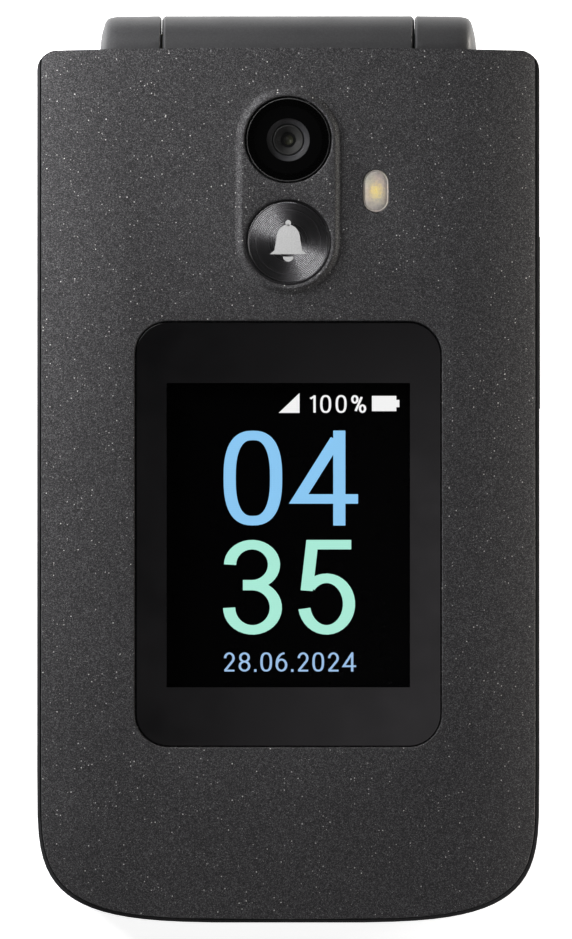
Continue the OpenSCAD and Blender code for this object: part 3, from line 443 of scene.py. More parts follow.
paint = {
    "colour": (0.0424, 0.0416, 0.0434),
    # near-white painted glint of the larger flakes
    "paintedGlintColour": (1.0, 0.98, 0.95),
    "roughness": 0.52,
    "specular": 0.28,
    "coat": (0.12, 0.25),           # weight and roughness of the clear coat
    "grainCell": 0.000085,          # width of the fine flakes that make up the ground
    "tones": (0.38, 2.5),           # of the dullest and the brightest fine flake; the bright ones are painted glints
    "tonePower": 2.6,               # most lie dull; a few are painted bright, as the glint of a flake that faces up
    "clusterSize": 0.0016,
    "clusterShift": 0.22,           # how far a cluster changes the odds of a larger flake
    "sparkleCell": 0.00026,         # one larger flake at most in each cell this wide
    "sparkleSize": 0.22,            # radius of a larger flake as a share of its cell
    "sparkleSoftness": 0.3,         # share of that radius at the full painted glint
    # layers of larger flakes: cell, rarity, how gradually they come in, painted glint
    "sparkles": ((1.0, 0.60, 0.55, 0.38), (1.55, 0.76, 0.26, 0.8)),
    "relief": 0.000008,
}


# round flakes in a share of the cells, more of them where cluster is high, each a painted glint
def flakeLayer(tree, place, cluster, cell, rarity, softness, paintedGlint):
    size = paint["sparkleSize"]
    cells = addNode(tree, "ShaderNodeTexVoronoi", {
        "Vector": place, "Scale": 1 / (paint["sparkleCell"] * cell), "Randomness": 1.0})
    dot = mapTo(tree, cells.outputs["Distance"], size, size * paint["sparkleSoftness"], 0, 1)
    channels = addNode(tree, "ShaderNodeSeparateColor", {"Color": cells.outputs["Color"]})
    chance = maths(tree, "ADD", channels.outputs["Red"], cluster)
    gate = mapTo(tree, chance, rarity, rarity + softness, 0, 1)
    return maths(tree, "MULTIPLY", maths(tree, "MULTIPLY", dot, gate), paintedGlint)


# charcoal paint of fine silver flakes, their glints painted in as bright dots, the brighter ones in loose clusters
def sparklePaint():
    p = paint
    material, tree, principled = shader(
        "coverPaint", p["colour"], p["roughness"], Specular_IOR_Level=p["specular"],
        Coat_Weight=p["coat"][0], Coat_Roughness=p["coat"][1])
    place = objectPlace(tree)
    ground = addNode(tree, "ShaderNodeTexVoronoi", {"Vector": place, "Scale": 1 / p["grainCell"]})
    shade = addNode(tree, "ShaderNodeSeparateColor", {"Color": ground.outputs["Color"]})
    cluster = noiseTo(tree, noise(tree, place, p["clusterSize"]), -p["clusterShift"],
                      p["clusterShift"])
    paintedGlint = maths(tree, "MAXIMUM", *(flakeLayer(tree, place, cluster, *layer)
                                     for layer in p["sparkles"]))
    bright = maths(tree, "POWER", shade.outputs["Red"], p["tonePower"])
    tone = maths(tree, "MULTIPLY", mapTo(tree, bright, 0, 1, *p["tones"]),
                 noiseTo(tree, noise(tree, place, 0.012), 0.96, 1.05))
    # the flakes' glints are painted into the base colour as near-white dots
    tree.links.new(mixColour(tree, paintedGlint, dimmed(tree, p["colour"], tone), p["paintedGlintColour"]),
                   principled.inputs["Base Color"])
    tree.links.new(mapTo(tree, bright, 0, 1, p["roughness"] + 0.05, p["roughness"] - 0.15),
                   principled.inputs["Roughness"])
    addBump(tree, principled, shade.outputs["Green"], p["relief"], 0.35)
    return material


# hard glossy surface with a trace of unevenness in its polish
def cleanGloss(name, colour, roughness=0.08, **sockets):
    material, tree, principled = shader(name, colour, roughness, **sockets)
    haze = noise(tree, objectPlace(tree), 0.004, 3.0)
    tree.links.new(noiseTo(tree, haze, roughness * 0.85, roughness * 1.15),
                   principled.inputs["Roughness"])
    return material


def clearWindow(name, colour, opacity, roughness, **sockets):
    return cleanGloss(name, colour, roughness, Alpha=opacity, **sockets)


# plain metal with fine drawn marks along one direction
def bareMetal(name, colour, roughness=0.32, stretch=(1, 1, 12)):
    material, tree, principled = shader(name, colour, roughness, Metallic=1.0)
    drawn = addNode(tree, "ShaderNodeMapping", {"Vector": objectPlace(tree), "Scale": stretch})
    marks = noise(tree, drawn.outputs["Vector"], 0.0006, 3.0)
    tree.links.new(noiseTo(tree, marks, roughness - 0.07, roughness + 0.09),
                   principled.inputs["Roughness"])
    dull = tuple(c * 0.7 for c in colour)
    tree.links.new(mixColour(tree, noiseTo(tree, marks, 0, 0.25), colour, dull),
                   principled.inputs["Base Color"])
    addBump(tree, principled, marks, 0.000004)
    return material


board = {
    "mask": (0.01, 0.09, 0.04),
    "laidMask": ((0.012, 0.105, 0.045, 1), (0.008, 0.085, 0.035, 1)),
    "track": (0.02, 0.17, 0.07, 1),
    "gold": (0.75, 0.55, 0.2),
    "tracksPerMetre": 400.0,
    "padsPerMetre": 420.0,
    "padSize": (0.13, 0.11),        # where a pad's edge starts and ends, as a share of its cell
}


# green solder mask over faint tracks, with gold pads
def circuitBoard():
    material, tree, principled = shader("circuitBoard", board["mask"], 0.35)
    place = objectPlace(tree)
    tracks = addNode(tree, "ShaderNodeTexBrick", {
        "Vector": place, "Scale": board["tracksPerMetre"], "Mortar Size": 0.06,
        "Color1": board["laidMask"][0], "Color2": board["laidMask"][1], "Mortar": board["track"]})
    pads = addNode(tree, "ShaderNodeTexVoronoi", {"Vector": place, "Scale": board["padsPerMetre"]},
                   distance="CHEBYCHEV")
    pad = mapTo(tree, pads.outputs["Distance"], *board["padSize"], 0, 1)
    tree.links.new(mixColour(tree, pad, tracks.outputs["Color"], board["gold"]),
                   principled.inputs["Base Color"])
    tree.links.new(pad, principled.inputs["Metallic"])
    addBump(tree, principled, tracks.outputs["Fac"], 0.00002)
    return material


glow = {
    "reach": 0.0022,                # how far the LED's light spreads in the window
    "stretch": (1, 0.8, 0),
    "crinkle": 0.0003,
    "tones": ((0.0, (0.88, 0.70, 0.24, 1)), (0.2, (0.74, 0.60, 0.32, 1)),
              (0.42, (0.52, 0.45, 0.36, 1)), (0.7, (0.36, 0.33, 0.30, 1)),
              (1.0, (0.24, 0.22, 0.20, 1))),
}


# frosted window, warm over the LED that sits under its middle
def flashFront():
    material, tree, principled = shader("flashFront", (0.50, 0.47, 0.42), 0.25)
    place = objectPlace(tree)
    length = planDistance(tree, place, middleOf("flash_led"), glow["stretch"])
    crinkle = noise(tree, place, 0.00035, 4.0, 0.65)
    reach = maths(tree, "ADD", length, noiseTo(tree, crinkle, -glow["crinkle"], glow["crinkle"]))
    ramp = addNode(tree, "ShaderNodeValToRGB", {"Fac": mapTo(tree, reach, 0, glow["reach"], 0, 1)})
    stops = ramp.color_ramp.elements
    for stop, (position, colour) in zip(stops, (glow["tones"][0], glow["tones"][-1])):
        stop.position, stop.color = position, colour
    for position, colour in glow["tones"][1:-1]:
        stops.new(position).color = colour
    tint = addNode(tree, "ShaderNodeTexNoise", {"Vector": place, "Scale": 700.0, "Detail": 1.0})
    tinted = mixColour(tree, 0.10, ramp.outputs["Color"], tint.outputs["Color"], "OVERLAY")
    tree.links.new(tinted, principled.inputs["Base Color"])
    addBump(tree, principled, crinkle, 0.00004)
    return material


# dark turned metal, its sheen uneven along the cut rings
def spunFinish():
    material, tree, principled = shader("spunBlack", (0.20, 0.20, 0.205), 0.24, Metallic=1.0)
    radius = planDistance(tree, objectPlace(tree), middleOf("shortcut_key"))
    streak = addNode(tree, "ShaderNodeCombineXYZ", {"X": radius})
    marks = noise(tree, streak.outputs["Vector"], 0.0002)
    tree.links.new(noiseTo(tree, marks, 0.18, 0.30), principled.inputs["Roughness"])
    return material


# lit display elements, with the panel's fine pixel rows
def litPixels(name, colour, rowPitch=0.000219):
    material, tree, principled = shader(name, (0, 0, 0), 0.4, Specular_IOR_Level=0.0,
                                        Emission_Strength=1.0)
    place = addNode(tree, "ShaderNodeSeparateXYZ", {"Vector": objectPlace(tree)})
    rows = maths(tree, "SINE", maths(tree, "MULTIPLY", place.outputs["Y"], 2 * math.pi / rowPitch))
    tree.links.new(dimmed(tree, colour, mapTo(tree, rows, -1, 1, 0.97, 1.0)),
                   principled.inputs["Emission Color"])
    return material


finishes = {
    "coverPaint": sparklePaint(),
    "housing": mouldedPlastic("housingPlastic", (0.031, 0.031, 0.0324), grain=0.00018,
                              variation=0.2),
    "lensBorder": cleanGloss("lensBorder", (0.0009, 0.0009, 0.0011), 0.20,
                             Specular_IOR_Level=0.5),
    # lighter grey for a band on the camera glass's rounded edge: a painted highlight line
    "paintedEdgeHighlight": mouldedPlastic("paintedEdgeHighlight", (0.06, 0.06, 0.06), 0.35, grain=0.0001,
                                 variation=0.3),
    "lensWindow": clearWindow("lensWindow", (0, 0, 0), 0.03, 0.05, Specular_IOR_Level=0.05),
    "cameraBlack": cleanGloss("cameraBlack", (0.0006, 0.0006, 0.0007), Specular_IOR_Level=0.25),
    "cameraWindow": clearWindow("cameraWindow", (0.01, 0.01, 0.01), 0.1, 0.02),
    "moduleBlack": mouldedPlastic("moduleBlack", (0.016, 0.016, 0.017), 0.45),
    "barrelGrey": mouldedPlastic("barrelGrey", (0.038, 0.038, 0.041), 0.45, depth=0.000006),
    "barrelMid": mouldedPlastic("barrelMid", (0.030, 0.030, 0.0295), 0.45, grain=0.0001,
                                variation=0.3),
    "barrelDark": mouldedPlastic("barrelDark", (0.004, 0.004, 0.004), 0.6, depth=0.000006,
                                 Specular_IOR_Level=0.2),
    "lensCoating": cleanGloss("lensCoating", (0.024, 0.025, 0.014), 0.36),
    "displayBlack": cleanGloss("displayBlack", (0.0004, 0.0004, 0.0005), 0.3,
                               Specular_IOR_Level=0.03),
    "panelFrame": bareMetal("panelFrame", (0.35, 0.36, 0.37)),
    "flashFront": flashFront(),
    "ledPhosphor": mouldedPlastic("ledPhosphor", (0.85, 0.62, 0.10)),
    "spunBlack": spunFinish(),
    "legendGrey": mouldedPlastic("legendGrey", (0.50, 0.50, 0.50)),
    "keyBlack": mouldedPlastic("keyBlack", (0.018, 0.018, 0.0195), 0.38, grain=0.0002),
    "legendWhite": mouldedPlastic("legendWhite", (0.72, 0.73, 0.74), 0.45),
    "legendGreen": mouldedPlastic("legendGreen", (0.04, 0.42, 0.08), 0.45),
    "legendRed": mouldedPlastic("legendRed", (0.55, 0.03, 0.03), 0.45),
    "ringSilver": bareMetal("ringSilver", (0.36, 0.36, 0.38), 0.35, stretch=(1, 1, 1)),
    "footPlastic": mouldedPlastic("footPlastic", (0.5, 0.5, 0.5)),
    "circuitBoard": circuitBoard(),
    "steel": bareMetal("steel", (0.62, 0.62, 0.61)),
    "wire": bareMetal("wire", (0.22, 0.22, 0.22), 0.4, stretch=(1, 1, 1)),
    "driverBlack": mouldedPlastic("driverBlack", (0.03, 0.03, 0.03)),
    "brass": bareMetal("brass", (0.62, 0.44, 0.17)),
    "bumperRubber": mouldedPlastic("bumperRubber", (0.014, 0.014, 0.014), 0.75, depth=0.00002),
    "membrane": mouldedPlastic("membraneSilicone", (0.55, 0.55, 0.55), 0.6,
                               Subsurface_Weight=0.2),
    "domeFoil": bareMetal("domeFoil", (0.72, 0.72, 0.72), 0.25),
    "flatCable": mouldedPlastic("flatCable", (0.42, 0.16, 0.02), 0.35),
    "batteryWrap": mouldedPlastic("batteryWrap", (0.50, 0.50, 0.52), 0.35),
}
finishOfSlot = {
    "cover_paint": "coverPaint", "housing_plastic": "housing", "black_lens": "lensBorder",
    "camera_glass": "cameraBlack", "module_black": "moduleBlack", "display_panel": "panelFrame",
    "flash_plastic": "flashFront", "led_phosphor": "ledPhosphor", "spun_key": "spunBlack",
    "key_plastic": "keyBlack", "ring_metal": "ringSilver", "foot_plastic": "footPlastic",
    "circuit_board": "circuitBoard", "steel": "steel", "steel_mesh": "wire",
    "driver_black": "driverBlack", "motor_steel": "steel", "hinge_brass": "brass",
    "bumper_rubber": "bumperRubber", "membrane_rubber": "membrane", "dome_foil": "domeFoil",
    "flat_cable": "flatCable", "battery_wrap": "batteryWrap",
}


def finishOfNode(name):
    return finishes[finishOfSlot[slotOf[name]]]


for name, node in nodes.items():
    setMaterials(node, finishOfNode(name))
print("materials made")


# copy of a node's mesh with its loose triangles merged
def mergedNode(name):
    bm = bmesh.new()
    bm.from_mesh(nodes[name].data)
    bmesh.ops.remove_doubles(bm, verts=bm.verts, dist=2e-6)
    return bm


edgeWidths = {      # rounding of the edges of the nodes that are carried over as they are
    "lid_inner_housing": 0.08, "front_housing": 0.08, "rear_housing": 0.05, "battery_cover": 0.06,
    "volume_rocker": 0.12, "main_display_lens": 0.12, "lid_bumpers": 0.12, "navigation_foot": 0,
    "usb_port": 0.06, "headset_jack": 0.05, "hinge_cam_shaft": 0.08, "hinge_pin": 0.06,
    "hinge_spring_case": 0.08, "battery_pack": 0.3, "main_display_module": 0.1,
    "outer_display_module": 0.1,
}

# angles in degrees: faces joined as flat, edges rounded over, and edges shaded sharp
dressing = {"flatWithin": 0.4, "edgeOver": 38, "sharpOver": 32, "segments": 2}


# copy of a node with its flat faces joined and its edges rounded over
def dressed(name, width):
    bm = mergedNode(name)
    bmesh.ops.dissolve_limit(bm, angle_limit=math.radians(dressing["flatWithin"]),
                             verts=bm.verts, edges=bm.edges)
    piece = meshObject(name + "Shell", bm)
    if width:
        bevel = piece.modifiers.new("edges", "BEVEL")
        bevel.width = width * mm
        bevel.segments = dressing["segments"]
        bevel.limit_method = "ANGLE"
        bevel.angle_limit = math.radians(dressing["edgeOver"])
        bevel.use_clamp_overlap = True
        applyModifiers(piece)
    smoothShading(piece, dressing["sharpOver"])
    evenShading(piece)
    setMaterials(piece, finishOfNode(name))
    return settle(piece, bodyOf[name], slotOf[name], name)


# black walls round a display's picture, down to depth under its frame's face
def blackenRecess(shell, top, depth):
    shell.data.materials.append(finishes["displayBlack"])
    for face in shell.data.polygons:
        if face.center.z / mm > top - depth - 0.01:
            face.material_index = 1


# Geometry Nodes tree with named inputs; returns it, its given values and its way out
def growingTree(name, inputs):
    tree = bpy.data.node_groups.new(name, "GeometryNodeTree")
    for label, kind in inputs.items():
        tree.interface.new_socket(name=label, in_out="INPUT", socket_type="NodeSocket" + kind)
    tree.interface.new_socket(name="Geometry", in_out="OUTPUT",
                              socket_type="NodeSocketGeometry")
    given = tree.nodes.new("NodeGroupInput").outputs
    result = tree.nodes.new("NodeGroupOutput")

    # sizes up to here are in millimetres; what leaves is plain geometry with its material
    def wayOut(shape, place=(0, 0, 0)):
        shape = transformed(tree, shape, Translation=place)
        shape = transformed(tree, shape, Scale=(mm, mm, mm))
        real = addNode(tree, "GeometryNodeRealizeInstances", {"Geometry": shape})
        made = addNode(tree, "GeometryNodeSetMaterial", {"Geometry": real.outputs[0],
                                                         "Material": given["Material"]})
        tree.links.new(made.outputs[0], result.inputs["Geometry"])

    return tree, given, wayOut


def transformed(tree, shape, **how):
    return addNode(tree, "GeometryNodeTransform", {"Geometry": shape, **how}).outputs[0]


def vectorOf(tree, x=0.0, y=0.0, z=0.0):
    return addNode(tree, "ShaderNodeCombineXYZ", {"X": x, "Y": y, "Z": z}).outputs[0]


def together(tree, *shapes):
    whole = addNode(tree, "GeometryNodeJoinGeometry")
    for shape in shapes:
        tree.links.new(shape, whole.inputs[0])
    return whole.outputs[0]


# round wire along a curve, closed at its ends
def wireAlong(tree, curve, radius, sides):
    profile = addNode(tree, "GeometryNodeCurvePrimitiveCircle", {"Resolution": sides,
                                                                 "Radius": radius})
    return addNode(tree, "GeometryNodeCurveToMesh", {
        "Curve": curve, "Profile Curve": profile.outputs[0], "Fill Caps": True}).outputs[0]


# plain mesh made by a tree from its values, and from points where it takes them
def grown(name, tree, values, points=()):
    seed = bpy.data.meshes.new(name)
    seed.from_pydata([tuple(p) for p in points], [], [])
    piece = addObject(name, seed)
    modifier = piece.modifiers.new("grow", "NODES")
    modifier.node_group = tree
    for item in tree.interface.items_tree:
        if item.in_out == "INPUT" and item.name in values:
            modifier[item.identifier] = values[item.name]
    applyModifiers(piece)
    return piece


wireCloths = {
    "earpieceCloth": {"Pitch": 0.36, "Rows": 2, "Columns": 13, "Wire Radius": 0.08},
    "loudspeakerCloth": {"Pitch": 0.30, "Rows": 7, "Columns": 18, "Wire Radius": 0.045},
}


# square-woven cloth of round wires, which pass over and under each other
def wireClothTree():
    tree, given, wayOut = growingTree("wireCloth", {
        "Pitch": "Float", "Rows": "Int", "Columns": "Int", "Wire Radius": "Float",
        "Place": "Vector", "Material": "Material"})
    pitch, rows, columns, radius = (given[k] for k in ("Pitch", "Rows", "Columns", "Wire Radius"))
    pointsPerMesh = 8.0     # along a wire

    def times(a, b):
        return maths(tree, "MULTIPLY", a, b)

    place = addNode(tree, "ShaderNodeSeparateXYZ", {
        "Vector": addNode(tree, "GeometryNodeInputPosition").outputs[0]})
    turns = [maths(tree, "DIVIDE", times(place.outputs[axis], math.pi), pitch) for axis in (0, 1)]
    wave = times(times(maths(tree, "SINE", turns[0]), maths(tree, "COSINE", turns[1])), radius)
    halfX = times(columns, pitch)
    halfY = times(maths(tree, "ADD", rows, 0.5), pitch)
    firstX = times(times(maths(tree, "SUBTRACT", columns, 0.5), pitch), -1.0)
    firstY = times(times(rows, pitch), -1.0)
    # each way: a wire's two ends, how many wires, where the first lies, their step, their
    # points and their height
    crosswise = (vectorOf(tree, x=times(halfX, -1.0)), vectorOf(tree, x=halfX),
                 maths(tree, "ADD", times(rows, 2.0), 1.0), vectorOf(tree, y=firstY),
                 vectorOf(tree, y=pitch), times(columns, pointsPerMesh), wave)
    lengthwise = (vectorOf(tree, y=times(halfY, -1.0)), vectorOf(tree, y=halfY),
                  times(columns, 2.0), vectorOf(tree, x=firstX),
                  vectorOf(tree, x=pitch), times(rows, pointsPerMesh), times(wave, -1.0))
    layers = []
    for low, high, count, first, step, points, height in (crosswise, lengthwise):
        wire = addNode(tree, "GeometryNodeCurvePrimitiveLine", {"Start": low, "End": high})
        wire = addNode(tree, "GeometryNodeResampleCurve", {"Curve": wire.outputs[0],
                                                           "Count": points})
        line = addNode(tree, "GeometryNodeMeshLine", {"Count": count, "Start Location": first,
                                                      "Offset": step})
        spread = addNode(tree, "GeometryNodeInstanceOnPoints", {"Points": line.outputs[0],
                                                                "Instance": wire.outputs[0]})
        real = addNode(tree, "GeometryNodeRealizeInstances", {"Geometry": spread.outputs[0]})
        woven = addNode(tree, "GeometryNodeSetPosition", {"Geometry": real.outputs[0],
                                                          "Offset": vectorOf(tree, z=height)})
        layers.append(wireAlong(tree, woven.outputs[0], radius, 6))
    wayOut(together(tree, *layers), given["Place"])
    return tree


def placedCloth(name, node, tree):
    values = dict(wireCloths[name], Place=tuple(middleOf(node)), Material=finishes["wire"])
    cloth = grown(name, tree, values)
    smoothShading(cloth, 60)
    return settle(cloth, bodyOf[node], "steel_mesh", node)


spring = {"Turns": 6.0, "Wire Radius": 0.3}


# coil of round wire along the hinge
def springTree():
    tree, given, wayOut = growingTree("coilSpring", {
        "Turns": "Float", "Coil Radius": "Float", "Wire Radius": "Float", "Length": "Float",
        "Place": "Vector", "Material": "Material"})
    coil = addNode(tree, "GeometryNodeCurveSpiral", {
        "Resolution": 32, "Rotations": given["Turns"], "Start Radius": given["Coil Radius"],
        "End Radius": given["Coil Radius"], "Height": given["Length"]})
    wire = wireAlong(tree, coil.outputs[0], given["Wire Radius"], 12)
    wayOut(transformed(tree, wire, Rotation=(0, math.pi / 2, 0)), given["Place"])
    return tree


def hingeSpring():
    low, high = cadBox("hinge_spring")
    wire = spring["Wire Radius"]
    values = dict(spring, Length=high.x - low.x - 2 * wire, Material=finishes["steel"],
                  Place=(low.x + wire, hingeY, hingeZ))
    values["Coil Radius"] = (high.z - low.z) / 2 - wire
    coil = grown("hingeSpring", springTree(), values)
    smoothShading(coil, 50)
    return settle(coil, bodyOf["hinge_spring"], slotOf["hinge_spring"], "hinge_spring")


screw = {
    "Head Radius": 1.24, "Head Height": 0.7, "Head Bevel": 0.18, "Shank Radius": 0.56,
    "Slot Length": 1.3, "Slot Width": 0.28, "Slot Depth": 0.35,
    "Thread Pitch": 0.45, "Thread Height": 0.22,    # height as a share of the pitch
}


# a screw at each point: round head with a cross recess, shank and thread
def screwTree():
    sizes = ("Head Radius", "Head Height", "Head Bevel", "Shank Radius", "Shank Length",
             "Slot Length", "Slot Width", "Slot Depth", "Thread Pitch", "Thread Height")
    tree, given, wayOut = growingTree("crossScrews", {
        "Geometry": "Geometry", **{name: "Float" for name in sizes}, "Material": "Material"})
    radius, height, bevel, shank, length = (given[name] for name in sizes[:5])
    threadedShare = 0.8

    def times(a, b):
        return maths(tree, "MULTIPLY", a, b)

    def less(a, b):
        return maths(tree, "SUBTRACT", a, b)

    def cone(low, high, z, tall):
        made = addNode(tree, "GeometryNodeMeshCone", {
            "Vertices": 40, "Radius Bottom": low, "Radius Top": high, "Depth": tall})
        return transformed(tree, made.outputs[0], Translation=vectorOf(tree, z=z))

    head = addNode(tree, "GeometryNodeMeshBoolean", {
        "Mesh 2": together(tree, cone(less(radius, bevel), radius, 0.0, bevel),
                           cone(radius, radius, less(bevel, 0.01), less(height, bevel)))},
        operation="UNION", solver="EXACT")
    for turn in (0, math.pi / 2):
        bar = addNode(tree, "GeometryNodeMeshCube", {"Size": vectorOf(
            tree, given["Slot Length"], given["Slot Width"], times(given["Slot Depth"], 2))})
        slot = transformed(tree, bar.outputs[0], Rotation=(0, 0, turn))
        head = addNode(tree, "GeometryNodeMeshBoolean", {
            "Mesh 1": head.outputs[0], "Mesh 2": slot}, operation="DIFFERENCE", solver="EXACT")
    threaded = times(length, threadedShare)
    spiral = addNode(tree, "GeometryNodeCurveSpiral", {
        "Resolution": 20, "Rotations": maths(tree, "DIVIDE", threaded, given["Thread Pitch"]),
        "Start Radius": shank, "End Radius": shank, "Height": threaded})
    thread = wireAlong(tree, spiral.outputs[0],
                       times(given["Thread Pitch"], given["Thread Height"]), 4)
    bare = times(length, (1 - threadedShare) / 2)
    thread = transformed(tree, thread,
                         Translation=vectorOf(tree, z=maths(tree, "ADD", height, bare)))
    whole = together(tree, together(tree, head.outputs[0],
                                    cone(shank, shank, less(height, 0.05), length)), thread)
    spread = addNode(tree, "GeometryNodeInstanceOnPoints", {"Points": given["Geometry"],
                                                            "Instance": whole})
    wayOut(spread.outputs[0])
    return tree


# screws of one kind, at each side of the phone in every row
def screwSet(node, tree, rows):
    low, high = cadBox(node)
    head = screw["Head Radius"]
    ys = [low.y + head, high.y - head][:rows]
    values = dict(screw, Material=finishes["steel"])
    values["Shank Length"] = high.z - low.z - screw["Head Height"]
    points = [(side * (high.x - head), y, low.z) for side in (-1, 1) for y in ys]
    screws = grown(node + "Set", tree, values, points)
    smoothShading(screws, 35)
    return settle(screws, bodyOf[node], slotOf[node], node)


cloth = wireClothTree()
placedCloth("earpieceCloth", "earpiece_mesh", cloth)
placedCloth("loudspeakerCloth", "loudspeaker_mesh", cloth)
hingeSpring()
crossScrews = screwTree()
screwSet("lid_screws", crossScrews, 1)
screwSet("base_screws", crossScrews, 2)
print("wire cloth, spring and screws grown")

shells = {name: dressed(name, width) for name, width in edgeWidths.items()}
pictureDepth = 0.3
displayTop = cadBox("outer_display_module")[1].z
blackenRecess(shells["outer_display_module"], displayTop, pictureDepth)
print("shells dressed")

coverBox = cadBox("lid_outer_cover")
lensBox = cadBox("outer_display_lens")
cameraAt = middleOf("camera_lens_cover")
keyAt = middleOf("shortcut_key")
flashAt = middleOf("flash_lens")
plinthY = (cameraAt.y + keyAt.y) / 2
cover = {
    "side": outline["halfWidth"] - coverBox[1].x,    # step from the housing in to the cover
    "plinthRise": 0.45,
    "plinthHalfWidth": 5.85,
    "plinthLength": 23.5,
    "plinthSlope": (0.30, -0.62),                    # where its soft edge starts and ends
    "wall": 1.2,                                     # thickness of its side and of its face
    "face": 1.3,
    "edgeRadius": 0.05,
    "crown": 1.15,                                   # fall of the face towards the sides
    "crownWidth": 12.0,
    "crownPower": 2.6,
    "lip": 0.16,                                     # rounding of the edges of its openings
    "flashLip": 0.06,
    "keyLip": 0.38,                                  # wide soft edge round the key
    "keyLipDrop": 0.13,
    "keyLipPower": 1.5,
    "seatGap": 0.1,
    "windowLedge": 1.65,
    "lensRadius": 3.8,
    "cameraSeat": 5.03,
    "cameraBore": 3.9,
    "keyHole": 4.95,
    "flashHole": (3.06, 5.0, 1.53),
    # rows of points: in from the edge, across the rounded lips, and over the plinth's slope
    "insets": (0, 0.006, 0.018, 0.035, 0.05, 0.3, 0.7, 1.2, 1.21, 1.8, 2.5, 3.3, 4.2, 5.4, 7.0,
               9.0, 12.0),
    "lipShares": (0.0, 0.06, 0.18, 0.36, 0.62, 1.0),
    "seatShare": -0.0625,                            # one more row, just inside each seat
    "slopeSteps": 9,
}
coverTop = coverBox[1].z - cover["plinthRise"]
cameraSeatZ = cadBox("camera_lens_cover")[0].z
lensSize = (lensBox[1].x - lensBox[0].x, lensBox[1].y - lensBox[0].y)
lensY = (lensBox[0].y + lensBox[1].y) / 2


def lensDistance(x, y, grow=0.0):
    return roundedDistance(x, y - lensY, lensSize[0] + 2 * grow, lensSize[1] + 2 * grow,
                           cover["lensRadius"] + grow)


def lensLoop(grow, steps):
    return roundedLoop(lensSize[0] + 2 * grow, lensSize[1] + 2 * grow,
                       cover["lensRadius"] + grow, 0, lensY, steps)


def plinthDistance(x, y):
    half = cover["plinthLength"] / 2 - cover["plinthHalfWidth"]
    return math.hypot(x, max(abs(y - plinthY) - half, 0)) - cover["plinthHalfWidth"]


# distances outside the lens recess, camera seat, key hole and flash hole
def coverHoleDistances(x, y):
    return (lensDistance(x, y, cover["seatGap"]),
            math.hypot(x - cameraAt.x, y - cameraAt.y) - cover["cameraSeat"],
            math.hypot(x - keyAt.x, y - keyAt.y) - cover["keyHole"],
            roundedDistance(x - flashAt.x, y - flashAt.y, *cover["flashHole"]))


def coverTopAt(x, y, seatSlack=0.005):
    toLens, toCamera, toKey, toFlash = coverHoleDistances(x, y)
    if toLens < -seatSlack:
        return lensBox[0].z
    if toCamera < -seatSlack:
        return cameraSeatZ
    z = coverTop - fillet(insetAt(x, y) - cover["side"], cover["edgeRadius"])
    fromSide = outline["halfWidth"] - cover["side"] - abs(x)
    z -= cover["crown"] * max(1 - fromSide / cover["crownWidth"], 0) ** cover["crownPower"]
    start, end = cover["plinthSlope"]
    z += cover["plinthRise"] * smoothStep((start - plinthDistance(x, y)) / (start - end))
    z -= cover["keyLipDrop"] * max(1 - abs(toKey) / cover["keyLip"], 0) ** cover["keyLipPower"]
    return z - max(fillet(min(abs(toLens), abs(toCamera)), cover["lip"]),
                   fillet(abs(toFlash), cover["flashLip"]))


def coverUnderAt(x, y):
    inWall = insetAt(x, y) - cover["side"] < cover["wall"] + 0.002
    return coverBox[0].z if inWall else coverTop - cover["face"]


def coverIsHole(x, y):
    _, _, toKey, toFlash = coverHoleDistances(x, y)
    return (toKey < 0 or toFlash < 0 or lensDistance(x, y) < -cover["windowLedge"]
            or math.hypot(x - cameraAt.x, y - cameraAt.y) < cover["cameraBore"])


def lidCover():
    loops = [phoneOutline(cover["side"] + s, s) for s in cover["insets"]]
    w, l, r = cover["flashHole"]
    for share in (cover["seatShare"], *cover["lipShares"]):
        grow = share * cover["lip"]
        loops.append(lensLoop(cover["seatGap"] + grow, 12))
        loops.append(circleLoop(cover["cameraSeat"] + grow, cameraAt.x, cameraAt.y))
        if share >= 0:
            g = share * cover["flashLip"]
            loops.append(roundedLoop(w + 2 * g, l + 2 * g, r + g - hair, flashAt.x, flashAt.y,
                                     12))
            loops.append(circleLoop(cover["keyHole"] + share * cover["keyLip"], keyAt.x,
                                    keyAt.y))
    loops.append(lensLoop(-cover["windowLedge"], 12))
    loops.append(circleLoop(cover["cameraBore"], cameraAt.x, cameraAt.y))
    start, end = cover["plinthSlope"]
    for i in range(cover["slopeSteps"] + 1):
        grow = start + (end - start) * i / cover["slopeSteps"]
        w = 2 * (cover["plinthHalfWidth"] + grow)
        loops.append(roundedLoop(w, cover["plinthLength"] + 2 * grow, w / 2 - hair, 0, plinthY,
                                 28))
    plate = sheetSolid("lidCover", loops, coverTopAt, coverUnderAt, coverIsHole)
    smoothShading(plate)
    setMaterials(plate, finishes["coverPaint"])
    return settle(plate, "lid", "cover_paint", "lid_outer_cover")


lidCover()
print("lid cover built")

lens = {
    "edge": 0.09,
    "recess": 0.15,                 # its face lies this far below the solid's
    "slack": 0.05,                  # and its edge this far inside it
    "edgeShares": (0, 0.1, 0.3, 0.6, 1.0, 1.4),
    "window": (28.03, 35.04),       # lit area of the display
    "windowY": -0.12,               # its middle, from the lens's middle
}
windowY = lensY + lens["windowY"]
pictureZ = displayTop - pictureDepth


